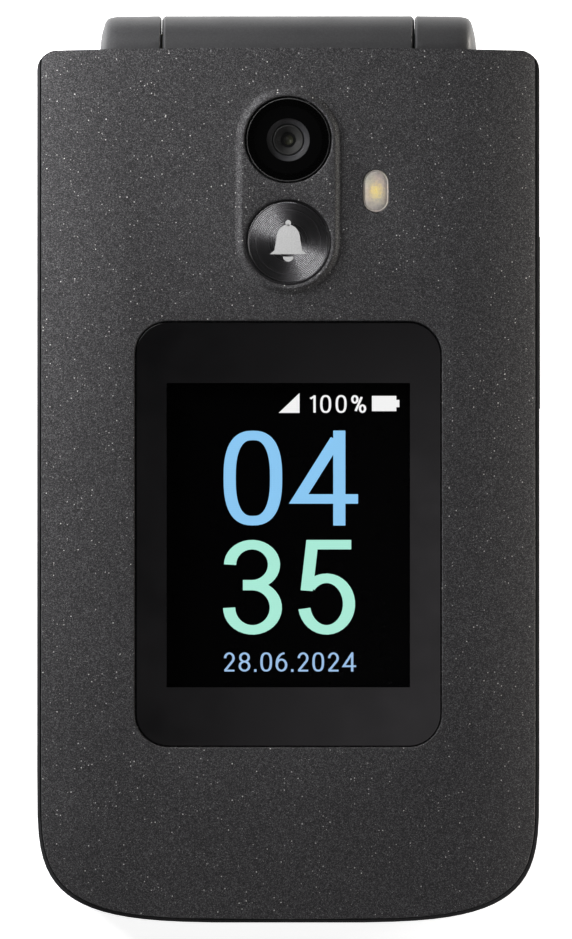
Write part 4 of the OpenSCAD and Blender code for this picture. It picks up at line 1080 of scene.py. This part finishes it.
def outerLens():
    top = lensBox[1].z - lens["recess"]
    w, l = lens["window"]
    slack = lens["slack"]
    loops = [lensLoop(-slack - share * lens["edge"], 16) for share in lens["edgeShares"]]
    loops.append([(sx * w / 2, windowY + sy * l / 2)
                  for sx, sy in ((1, 1), (-1, 1), (-1, -1), (1, -1))])
    plate = sheetSolid(
        "outerLens", loops,
        topAt=lambda x, y: top - fillet(-lensDistance(x, y) - slack, lens["edge"]),
        underAt=lambda x, y: lensBox[0].z, isHole=lambda x, y: False,
        materialAt=lambda x, y: int(abs(x) < w / 2 and abs(y - windowY) < l / 2))
    smoothShading(plate)
    setMaterials(plate, finishes["lensBorder"], finishes["lensWindow"])
    return settle(plate, "lid", "black_lens", "outer_display_lens")


# strokes along paths of (x, y) as thin closed bars; a path that ends where it starts is a ring.
# Level strokes are thinner than upright ones by the share flat
def strokeMesh(name, paths, width, z, depth, flat=1.0):
    bm = bmesh.new()
    for path in paths:
        closed = (Vector(path[0]) - Vector(path[-1])).length < 1e-6
        points = [Vector((x, y / flat)) for x, y in (path[:-1] if closed else path)]
        count = len(points)
        sides = []
        for i, p in enumerate(points):
            before = points[i - 1] if closed or i > 0 else None
            after = points[(i + 1) % count] if closed or i < count - 1 else None
            d1 = (p - before).normalized() if before is not None else (after - p).normalized()
            d2 = (after - p).normalized() if after is not None else d1
            normal = Vector((-(d1.y + d2.y), d1.x + d2.x)).normalized()
            reach = width / 2 / max(normal.dot(Vector((-d1.y, d1.x))), 0.4)
            sides.append((p + normal * reach, p - normal * reach))
        rows = [[bm.verts.new((s.x, s.y * flat, h))
                 for s, h in ((left, z), (right, z), (right, z + depth), (left, z + depth))]
                for left, right in sides]
        for a, b in zip(rows, rows[1:] + rows[:1] if closed else rows[1:]):
            bridge(bm, a, b)
        if not closed:
            bm.faces.new(list(reversed(rows[0])))
            bm.faces.new(rows[-1])
    return solidObject(name, bm)


# signs as strokes on their middle lines: width as a share of height, then paths in a unit box
glyphs = {
    "0": (0.54, [arc(0.5, 0.5, 0.5, 0.5, 0, 360, 56, 0.78)]),
    "1": (0.24, [[(1, -0.04), (1, 1.04)], [(-0.1, 0.83), (1, 0.98)]]),
    "2": (0.53, [arc(0.5, 0.72, 0.46, 0.28, 180, -35, 22) + [(0.02, 0.0)],
                 [(-0.04, 0.0), (1.06, 0.0)]]),
    "3": (0.54, [arc(0.48, 0.765, 0.48, 0.235, 180, -90, 26) + [(0.28, 0.53)],
                 [(0.28, 0.52)] + arc(0.49, 0.26, 0.51, 0.26, 90, -180, 26)]),
    "4": (0.63, [[(0.76, -0.057), (0.76, 1.057)], [(0.70, 0.955), (-0.02, 0.255), (1.12, 0.255)]]),
    "5": (0.53, [[(1.05, 1.0), (0.16, 1.0), (0.04, 0.46)],
                 arc(0.49, 0.303, 0.51, 0.303, 140, -170, 30)]),
    "6": (0.54, [arc(0.5, 0.32, 0.5, 0.32, 0, 360, 36), arc(0.80, 0.38, 0.80, 0.62, 178, 88, 14)]),
    "7": (0.54, [[(-0.04, 1.0), (1.0, 1.0), (0.32, -0.04)]]),
    "8": (0.54, [arc(0.5, 0.26, 0.5, 0.26, 0, 360, 36), arc(0.5, 0.76, 0.45, 0.24, 0, 360, 36)]),
    "9": (0.54, [arc(0.5, 0.68, 0.5, 0.32, 0, 360, 36), arc(0.20, 0.62, 0.80, 0.62, -2, -92, 14)]),
    ".": (0.03, [[(0.5, -0.07), (0.5, 0.08)]]),
    "%": (0.80, [arc(0.2, 0.79, 0.2, 0.21, 0, 360, 24), arc(0.8, 0.21, 0.2, 0.21, 0, 360, 24),
                 [(0.26, 0.06), (0.74, 0.94)]]),
}


def fitted(sign, x0, x1, y0, y1):
    return [[(x0 + x * (x1 - x0), y0 + y * (y1 - y0)) for x, y in path]
            for path in glyphs[sign][1]]


# strokes of a row of signs, spread evenly between x0 and x1
def textPaths(text, x0, x1, y0, y1):
    widths = [glyphs[c][0] * (y1 - y0) for c in text]
    gap = (x1 - x0 - sum(widths)) / max(len(text) - 1, 1)
    paths, x = [], x0
    for c, w in zip(text, widths):
        paths += fitted(c, x, x + w, y0, y1)
        x += w + gap
    return paths


clock = {
    # each digit with the left and right limits of its strokes
    "hours": (("0", -7.45, -0.70), ("4", 0.62, 8.02)),
    "minutes": (("3", -7.40, -0.73), ("5", 1.22, 7.70)),
    "hoursBase": -6.50,
    "minutesBase": -19.08,
    "digitHeight": 10.91,
    "digitStroke": 1.40,
    # text, left, right, base, height, stroke
    "date": ("28.06.2024", -7.45, 7.80, -23.33, 2.20, 0.27),
    "percent": ("100%", 2.45, 8.98, 6.46, 2.05, 0.27),
    # signal triangle, battery and its tip
    "status": (((-1.10, 6.46), (1.30, 6.46), (1.30, 8.75)),
               ((9.64, 6.66), (12.45, 6.66), (12.45, 8.42), (9.64, 8.42)),
               ((12.45, 7.12), (12.80, 7.12), (12.80, 7.96), (12.45, 7.96))),
    "flat": 0.78,       # thickness of level strokes against upright ones
    "depth": 0.02,
    "blue": (0.279, 0.617, 0.956),
    "mint": (0.434, 0.888, 0.730),
    "pale": (0.36, 0.56, 0.84),
    "white": (0.96, 0.96, 0.96),
}


def clockFace():
    z = pictureZ + clock["depth"]
    flat = clock["flat"]
    parts = []

    def lit(name, paths, stroke, colour):
        strokes = strokeMesh(name + "Strokes", paths, stroke, z, clock["depth"], flat)
        setMaterials(strokes, litPixels(name + "Light", clock[colour]))
        parts.append(strokes)

    across = clock["digitStroke"] / 2
    for name, colour in (("hours", "blue"), ("minutes", "mint")):
        base = clock[name + "Base"] + across * flat
        top = base + clock["digitHeight"] - 2 * across * flat
        lit(name, [path for sign, left, right in clock[name]
                   for path in fitted(sign, left + across, right - across, base, top)],
            2 * across, colour)
    for name, colour in (("date", "pale"), ("percent", "white")):
        text, left, right, base, height, stroke = clock[name]
        lit(name, textPaths(text, left + stroke / 2, right - stroke / 2,
                            base + stroke * flat / 2, base + height - stroke * flat / 2),
            stroke, colour)
    status = blocks("statusSigns", clock["status"], z, clock["depth"])
    setMaterials(status, litPixels("statusLight", clock["white"]))
    face = join(parts + [status], "clockFace")
    return settle(face, "lid", "display_panel")


# black picture area in the display's frame, just smaller than it
def outerPicture(gap=0.01, thickness=0.02):
    w, l = lens["window"]
    loop = roundedLoop(w - 2 * gap, l - 2 * gap, 0.05, 0, middleOf("outer_display_module").y, 2)
    face = pictureZ + gap
    plate = loft("outerPicture", [[(x, y, z) for x, y in loop] for z in (face - thickness, face)])
    setMaterials(plate, finishes["displayBlack"])
    return settle(plate, "lid", "display_panel")


outerLens()
outerPicture()
clockFace()
print("outer display built")

camera = {
    "glassRadius": 4.85,
    "edge": 0.14,
    "edgeMargin": 0.04,     # between its flat face and that edge
    "beyondHighlightShare": 0.45,    # share of the edge left polished, outside the lighter band of painted highlight
    "windowRadius": 2.47,
    "coneInner": 0.88,
    "coneSteps": 5,
    "coneStepDepth": 0.045,
    "lensRadius": 0.56,
    "lensCurve": 0.85,
    "lensDepth": 0.45,
    "bodyCut": 1.2,         # how far down the module's own solid is opened up
    # rows of radius and depth under the module's top
    "ring": ((0, 1.4), (3.2, 1.4), (3.2, 0.05), (3.05, 0), (2.77, 0), (1.87, 0.06), (1.84, 0.12),
             (1.82, 1.3), (0, 1.3)),
    "coneFoot": ((0, 1.35), (1.73, 1.35), (1.73, 0.12), (1.70, 0.09)),
    "coneMouth": ((0.87, 0.85), (0, 0.85)),
    "cup": ((0, 1.0), (0.86, 1.0), (0.86, 0.48), (0.56, 0.5), (0.56, 0.84), (0, 0.84)),
    "dishFoot": ((0, 0.86), (0.55, 0.86), (0.55, 0.45)),
}


def cameraGlass():
    low, high = cadBox("camera_lens_cover")
    r, edge, w = camera["glassRadius"], camera["edge"], camera["windowRadius"]
    face = r - edge - camera["edgeMargin"]
    rim = [(r - edge + edge * math.sin(t), high.z - edge + edge * math.cos(t))
           for t in (math.radians(a) for a in range(0, 91, 18))]
    profile = [(0, high.z), (w, high.z), (face, high.z), *rim, (r, low.z), (w, low.z), (0, low.z)]
    glass = turned("cameraGlass", profile, cameraAt)
    smoothShading(glass)
    setMaterials(glass, finishes["cameraBlack"], finishes["cameraWindow"], finishes["paintedEdgeHighlight"])
    # faces of the clear window, and a lighter band on the rounded edge painted as its highlight line
    for polygon in glass.data.polygons:
        centre = polygon.center / mm
        reach = math.hypot(centre.x - cameraAt.x, centre.y - cameraAt.y)
        if reach < w - 0.02 or (reach < face and centre.z > high.z - 0.01):
            polygon.material_index = 1      # clear but for the black print on its underside
        elif r - edge - camera["edgeMargin"] / 2 < reach < r - edge * camera["beyondHighlightShare"]:
            polygon.material_index = 2
    return settle(glass, "lid", "camera_glass", "camera_lens_cover")


# the module's own solid, open at its top, with the turned parts of the barrel in it
def cameraModule():
    c = camera
    top = cadBox("camera_module")[1].z

    def barrelPart(name, rows, finish, steps=96):
        part = turned(name, [(r, top - depth) for r, depth in rows], cameraAt, steps)
        setMaterials(part, finishes[finish])
        return part

    bm = mergedNode("camera_module")
    upper = [v for v in bm.verts if v.co.z > (top - c["bodyCut"]) * mm]
    bmesh.ops.delete(bm, geom=upper, context="VERTS")
    bmesh.ops.holes_fill(bm, edges=bm.edges)
    bmesh.ops.recalc_face_normals(bm, faces=bm.faces)
    body = meshObject("cameraBody", bm)
    setMaterials(body, finishOfNode("camera_module"))

    steps = []
    edge, firstDepth = c["coneFoot"][-1]
    outer = edge - 0.03
    width = (outer - c["coneInner"]) / c["coneSteps"]
    for i in range(c["coneSteps"]):
        r = outer - i * width
        depth = firstDepth + c["coneStepDepth"] * i
        steps += [(r, depth), (r - width + 0.02, depth + 0.01)]

    radius, curve = c["lensRadius"], c["lensCurve"]
    rise = math.sqrt(curve ** 2 - radius ** 2)
    dish = [(r, c["lensDepth"] + math.sqrt(curve ** 2 - r ** 2) - rise)
            for r in (radius * i / 10 for i in range(9, -1, -1))]
    module = join([
        body,
        barrelPart("cameraRing", c["ring"], "barrelGrey"),
        barrelPart("cameraCone", [*c["coneFoot"], *steps, *c["coneMouth"]], "barrelMid"),
        barrelPart("cameraCup", c["cup"], "barrelDark"),
        barrelPart("cameraLensDish", [*c["dishFoot"], *dish], "lensCoating", 48),
    ], "cameraModule")
    smoothShading(module)
    return settle(module, "lid", "module_black", "camera_module")


spunKey = {
    "radius": 4.75,
    "rim": 0.16,
    "rimRows": ((0, 0.10), (0.02, 0.04), (0.06, 0.01), (0.10, 0), (0.16, 0.03)),  # in, down
    "faceDepth": 0.06,
    "groovePitch": 0.18,
    "grooveDepth": 0.036,
    "grooveSteps": 6,
    "flange": 0.65,
    "flangeHeight": 0.5,
    "flangeGap": 0.1,
    "stem": 1.2,
}
bell = {                    # the plain sign on the key
    "drop": 0.1,            # its middle, below the key's
    "height": 0.02,         # how far it stands over the face
    "foot": ((2.15, -1.28), (1.6, -0.85)),
    "dome": arc(0, 0.42, 1.38, 1.72, 180, 0, 24),
    "clapper": arc(0, -1.56, 0.62, 0.56, 180, 360, 14),
    "knob": arc(0, 2.32, 0.33, 0.33, 0, 360, 20)[:-1],
}


def shortcutKey():
    low, high = cadBox("shortcut_key")
    k = spunKey
    top, r = high.z, k["radius"]
    flangeTop = coverTop - cover["face"] - k["flangeGap"]
    flangeUnder = flangeTop - k["flangeHeight"]
    profile = [(0, low.z), (k["stem"], low.z), (k["stem"], flangeUnder),
               (r + k["flange"], flangeUnder), (r + k["flange"], flangeTop), (r, flangeTop)]
    profile += [(r - inwards, top - down) for inwards, down in k["rimRows"]]
    face = top - k["faceDepth"]
    # rings cut into the face, from the rim to the middle
    rings = int((r - k["rim"]) / k["groovePitch"])
    for i in range(rings * k["grooveSteps"]):
        turn = i / k["grooveSteps"]
        profile.append((r - k["rim"] - 0.01 - turn * k["groovePitch"],
                        face - k["grooveDepth"] / 2 * (1 - math.cos(2 * math.pi * turn))))
    profile.append((0, face))
    disc = turned("shortcutKeyDisc", profile, keyAt, 128)
    smoothShading(disc, 60)
    setMaterials(disc, finishes["spunBlack"])
    foot = list(bell["foot"])
    contour = [(-x, y) for x, y in foot] + bell["dome"] + foot[::-1]
    sign = blocks("bellSign", [[(keyAt.x + x, keyAt.y - bell["drop"] + y) for x, y in points]
                               for points in (contour, bell["clapper"], bell["knob"])],
                  face - k["grooveDepth"], k["grooveDepth"] + bell["height"])
    setMaterials(sign, finishes["legendGrey"])
    return settle(join([disc, sign], "shortcutKey"), "shortcut_key", "spun_key", "shortcut_key")


flash = {
    "size": (2.96, 4.9),
    "flange": 0.6,
    "flangeGap": 0.03,
    "drop": 0.01,           # its face lies this far under the solid's
    # rows out from its edge and down from its face: edge, groove and middle
    "rows": ((0, 0.06), (-0.04, 0), (-0.14, 0), (-0.19, 0.03), (-0.23, 0.03), (-0.32, 0),
             (-0.7, 0), (-1.1, -0.01)),
}


def flashWindow():
    low, high = cadBox("flash_lens")
    w, l = flash["size"]
    flangeTop = coverTop - cover["face"] - flash["flangeGap"]
    top = high.z - flash["drop"]
    rows = [(flash["flange"], low.z), (flash["flange"], flangeTop), (0, flangeTop)]
    rings = []
    for grow, z in rows + [(grow, top - down) for grow, down in flash["rows"]]:
        loop = roundedLoop(w + 2 * grow, l + 2 * grow, w / 2 + grow - hair, flashAt.x,
                           flashAt.y, 12)
        rings.append([(x, y, z) for x, y in loop])
    window = loft("flashWindow", rings)
    smoothShading(window)
    setMaterials(window, finishes["flashFront"])
    return settle(window, "lid", "flash_plastic", "flash_lens")


cameraGlass()
cameraModule()
shortcutKey()
flashWindow()
print("camera, shortcut key and flash built")

keyShape = {
    "flange": 0.4,
    "flangeHeight": 0.4,
    "radius": 2.2,
    "leastRadius": 0.25,
    "edge": 0.28,
    "dish": ((0.7, 0.015), (1.4, 0.04), (2.4, 0.07), (3.4, 0.085)),     # in, down
    "legendHeight": 3.6,
    "legendStroke": 0.42,
    "boldStroke": 0.8,
    "legendSink": 0.01,     # how far a legend starts under the face, and its whole depth
    "legendDepth": 0.05,
}
# signs that aren't digits, as strokes about a middle point
signs = {
    "star": [[(-1.15 * math.cos(t), -1.15 * math.sin(t)), (1.15 * math.cos(t), 1.15 * math.sin(t))]
             for t in (math.radians(a) for a in (90, 30, 150))],
    "hash": [[(-0.75, -1.5), (-0.35, 1.5)], [(0.35, -1.5), (0.75, 1.5)],
             [(-1.35, -0.6), (1.25, -0.6)], [(-1.25, 0.6), (1.35, 0.6)]],
    "clear": [[(1.8, 0), (-1.7, 0)], [(-0.7, 1.0), (-1.8, 0), (-0.7, -1.0)]],
    "handset": [[(-2.0, -0.75), (-2.0, -0.1)] + arc(0, -0.35, 1.75, 0.95, 160, 20, 14)
                + [(2.0, -0.1), (2.0, -0.75)]],
    "bar": [[(-1.6, 0), (1.6, 0)]],
    "ring": [arc(0, 0, 1.6, 1.6, 0, 360, 32)],
}
signs["handsetDown"] = [[(x, -y) for x, y in path] for path in signs["handset"]]
signOfKey = {       # the other keys carry the digit that ends their name
    "call_key": "handset", "end_key": "handsetDown", "clear_key": "clear", "key_star": "star",
    "key_hash": "hash", "soft_key_left": "bar", "soft_key_right": "bar",
}
boldSigns = {"call_key": "legendGreen", "end_key": "legendRed"}


# key with a rounded top edge, a shallow dish, the flange that holds it in and its sign
def keypadKey(name):
    low, high = cadBox(name)
    k = keyShape
    middle = middleOf(name)
    w, l = high.x - low.x - 2 * k["flange"], high.y - low.y - 2 * k["flange"]
    flangeTop = low.z + k["flangeHeight"]
    rows = [(k["flange"], low.z), (k["flange"], flangeTop), (0, flangeTop + hair),
            (0, high.z - k["edge"])]
    rows += [(-inwards, high.z - down) for inwards, down in (*roundedEdge(k["edge"]), *k["dish"])]
    rings = []
    for grow, z in rows:
        loop = roundedLoop(w + 2 * grow, l + 2 * grow, max(k["radius"] + grow, k["leastRadius"]),
                           middle.x, middle.y)
        rings.append([(x, y, z) for x, y in loop])
    cap = loft(name + "Cap", rings)
    setMaterials(cap, finishes["keyBlack"])

    if name in signOfKey:
        paths = [[(middle.x + x, middle.y + y) for x, y in path]
                 for path in signs[signOfKey[name]]]
    else:
        digit = name[-1]
        halfW, halfH = glyphs[digit][0] * k["legendHeight"] / 2, k["legendHeight"] / 2
        paths = fitted(digit, middle.x - halfW, middle.x + halfW, middle.y - halfH,
                       middle.y + halfH)
    stroke = k["boldStroke" if name in boldSigns else "legendStroke"]
    floor = high.z - k["dish"][-1][1]
    legend = strokeMesh(name + "Legend", paths, stroke, floor - k["legendSink"],
                        k["legendDepth"])
    setMaterials(legend, finishes[boldSigns.get(name, "legendWhite")])
    key = join([cap, legend], name + "Piece")
    smoothShading(key)
    return settle(key, bodyOf[name], "key_plastic", name)


selectShape = {
    "edge": 0.3,
    "dish": ((1.2, 0.03), (2.6, 0.07)),     # in, down
    "depth": 0.09,
    "stroke": 0.4,
}


def selectKey():
    low, high = cadBox("select_key")
    centre = middleOf("select_key")
    k = selectShape
    r = (high.x - low.x) / 2
    profile = [(0, low.z), (r, low.z), (r, high.z - k["edge"])]
    profile += [(r - inwards, high.z - down)
                for inwards, down in (*roundedEdge(k["edge"]), *k["dish"])]
    cap = turned("selectCap", profile + [(0, high.z - k["depth"])], centre)
    setMaterials(cap, finishes["keyBlack"])
    ring = [[(centre.x + x, centre.y + y) for x, y in path] for path in signs["ring"]]
    sign = strokeMesh("selectSign", ring, k["stroke"],
                      high.z - k["depth"] - keyShape["legendSink"], keyShape["legendDepth"])
    setMaterials(sign, finishes["legendWhite"])
    key = join([cap, sign], "selectKey")
    smoothShading(key)
    return settle(key, "select_key", "key_plastic", "select_key")


ringShape = {
    "hole": 5.5,
    "corner": 8.0,
    "edge": 0.3,
    "crown": 0.12,          # fall towards the hole, and over what width
    "crownWidth": 2.5,
    "markStroke": 0.34,
    "markSize": (0.35, 0.45, 0.9),      # of a chevron: back, forward, to each side
    "markSink": 0.04,
    "markDepth": 0.035,
}


# rounded frame, crowned across its width, with a mark for each direction
def navigationRing():
    low, high = cadBox("navigation_ring")
    centre = middleOf("navigation_ring")
    w, l = high.x - low.x, high.y - low.y
    k = ringShape

    def topAt(x, y):
        fromHole = math.hypot(x - centre.x, y - centre.y) - k["hole"]
        fromSide = -roundedDistance(x - centre.x, y - centre.y, w, l, k["corner"])
        fall = k["crown"] * max(1 - fromHole / k["crownWidth"], 0) ** 2
        return high.z - fillet(min(fromSide, fromHole), k["edge"]) - fall

    edgeRows = (0, 0.03, 0.09, 0.18, 0.3)
    loops = [roundedLoop(w - 2 * s, l - 2 * s, k["corner"] - s, centre.x, centre.y, 16)
             for s in (*edgeRows, 1.0)]
    loops += [circleLoop(k["hole"] + s, centre.x, centre.y)
              for s in (*edgeRows, 0.7, 1.2, 1.8, 2.5)]
    plate = sheetSolid(
        "ringPlate", loops, topAt, underAt=lambda x, y: low.z,
        isHole=lambda x, y: math.hypot(x - centre.x, y - centre.y) < k["hole"])
    setMaterials(plate, finishes["ringSilver"])
    back, forward, aside = k["markSize"]
    marks = []
    for angle in range(0, 360, 90):
        turn = math.radians(angle)
        reach = (k["hole"] + (w if angle % 180 == 0 else l) / 2) / 2
        chevron = [(reach - back, -aside), (reach + forward, 0), (reach - back, aside)]
        marks.append([(centre.x + x * math.cos(turn) - y * math.sin(turn),
                       centre.y + x * math.sin(turn) + y * math.cos(turn)) for x, y in chevron])
    sign = strokeMesh("ringMarks", marks, k["markStroke"], high.z - k["markSink"],
                      k["markDepth"])
    setMaterials(sign, finishes["keyBlack"])
    ring = join([plate, sign], "navigationRing")
    smoothShading(ring)
    return settle(ring, "navigation_ring", "ring_metal", "navigation_ring")


for name in nodes:
    if slotOf[name] == "key_plastic" and name != "select_key":
        keypadKey(name)
selectKey()
navigationRing()
print("keypad built")

# the studio, in metres
paper = {
    "halfSize": 3.0,
    "drop": 0.00002,        # how far it lies under the phone
    "colour": (0.82, 0.82, 0.82),
    "whiteFrom": 0.14,      # it turns from this pale to white between these distances
    "whiteAt": 0.35,
    "pale": 0.87,
}
lamps = {
    # place, point that it faces, size, power, colour, rays that don't meet it
    "leftSoftbox": ((-0.128, 0.090, 0.068), (0, 0, 0.01), (0.12, 0.06), 0.78, (1, 1, 1),
                    "glossy"),
    "leftGlint": ((-0.091, 0.117, 0.171), (0, 0.026, 0.018), (0.12, 0.045), 0.12, (1, 1, 1),
                  "diffuse"),
    "rightSoftbox": ((0.45, 0.05, 0.12), (0, 0, 0.01), (0.3, 0.16), 0.3, (1, 0.98, 0.95), None),
    "rightStrip": ((0.13, 0.035, 0.0145), (0, 0.035, 0.0145), (0.13, 0.012), 0.40,
                   (1, 0.96, 0.89), None),
    "footSoftbox": ((0.05, -0.40, 0.03), (0, 0, 0.01), (0.3, 0.05), 0.5, (1, 1, 1), None),
    "lowerReflection": ((0.160, -0.150, 0.35), (0.160, -0.150, 0), (0.32, 0.32), 0.28,
                        (1, 0.95, 1), "diffuse"),
}
roomLight = 0.025           # a dark room above the table
view = {
    "x": -0.26,             # above which point of the phone it stands, in millimetres
    "y": -0.06,
    "tall": 108.1,          # height of the picture at the cover's face, in millimetres
    "distance": 2.8,
    "sensor": 36,
}


# seen as white paper, while the light that falls on it still leaves the phone's shadow
def studioFloor():
    bm = bmesh.new()
    bmesh.ops.create_grid(bm, x_segments=2, y_segments=2, size=paper["halfSize"])
    bmesh.ops.translate(bm, vec=(0, 0, -paper["drop"]), verts=bm.verts)
    floor = meshObject("studioFloor", bm)
    material, tree, principled = shader("paperFloor", paper["colour"], 0.9,
                                        Emission_Color=(1, 1, 1, 1))
    rays = addNode(tree, "ShaderNodeLightPath").outputs
    mirrored = maths(tree, "MAXIMUM", rays["Is Glossy Ray"], rays["Is Transmission Ray"])
    seen = maths(tree, "MAXIMUM", rays["Is Camera Ray"], mirrored)
    away = addNode(tree, "ShaderNodeVectorMath", {0: objectPlace(tree)}, operation="LENGTH")
    white = mapTo(tree, away.outputs["Value"], paper["whiteFrom"], paper["whiteAt"],
                  paper["pale"], 1.0)
    tree.links.new(maths(tree, "MULTIPLY", seen, white), principled.inputs["Emission Strength"])
    setMaterials(floor, material)


def areaLight(name, place, target, size, power, colour, unmet):
    data = bpy.data.lights.new(name, "AREA")
    data.shape = "RECTANGLE"
    data.size, data.size_y = size
    data.energy = power
    data.color = colour
    light = addObject(name, data)
    direction = Vector(target) - Vector(place)
    turn = direction.to_track_quat("-Z", "Y").to_matrix().to_4x4()
    light.matrix_world = Matrix.Translation(place) @ turn
    light.visible_camera = False
    if unmet:
        setattr(light, "visible_" + unmet, False)


def studioWorld():
    world = bpy.data.worlds.new("studioWorld")
    scene.world = world
    world.use_nodes = True
    tree = world.node_tree
    background = tree.nodes["Background"]
    background.inputs["Color"].default_value = (1, 1, 1, 1)
    rays = addNode(tree, "ShaderNodeLightPath").outputs
    seen = maths(tree, "MAXIMUM", rays["Is Camera Ray"], rays["Is Transmission Ray"])
    tree.links.new(mapTo(tree, seen, 0, 1, roomLight, 1.0), background.inputs["Strength"])


def photoCamera():
    data = bpy.data.cameras.new("photoCamera")
    data.sensor_width = view["sensor"]
    data.sensor_fit = "AUTO"
    data.lens = view["sensor"] * view["distance"] / (view["tall"] * mm)
    data.clip_end = 20
    scene.camera = addObject("photoCamera", data)
    scene.camera.location = (view["x"] * mm, view["y"] * mm, coverTop * mm + view["distance"])


studioFloor()
studioWorld()
for name, lamp in lamps.items():
    areaLight(name, *lamp)
photoCamera()
print("floor, light and camera placed")
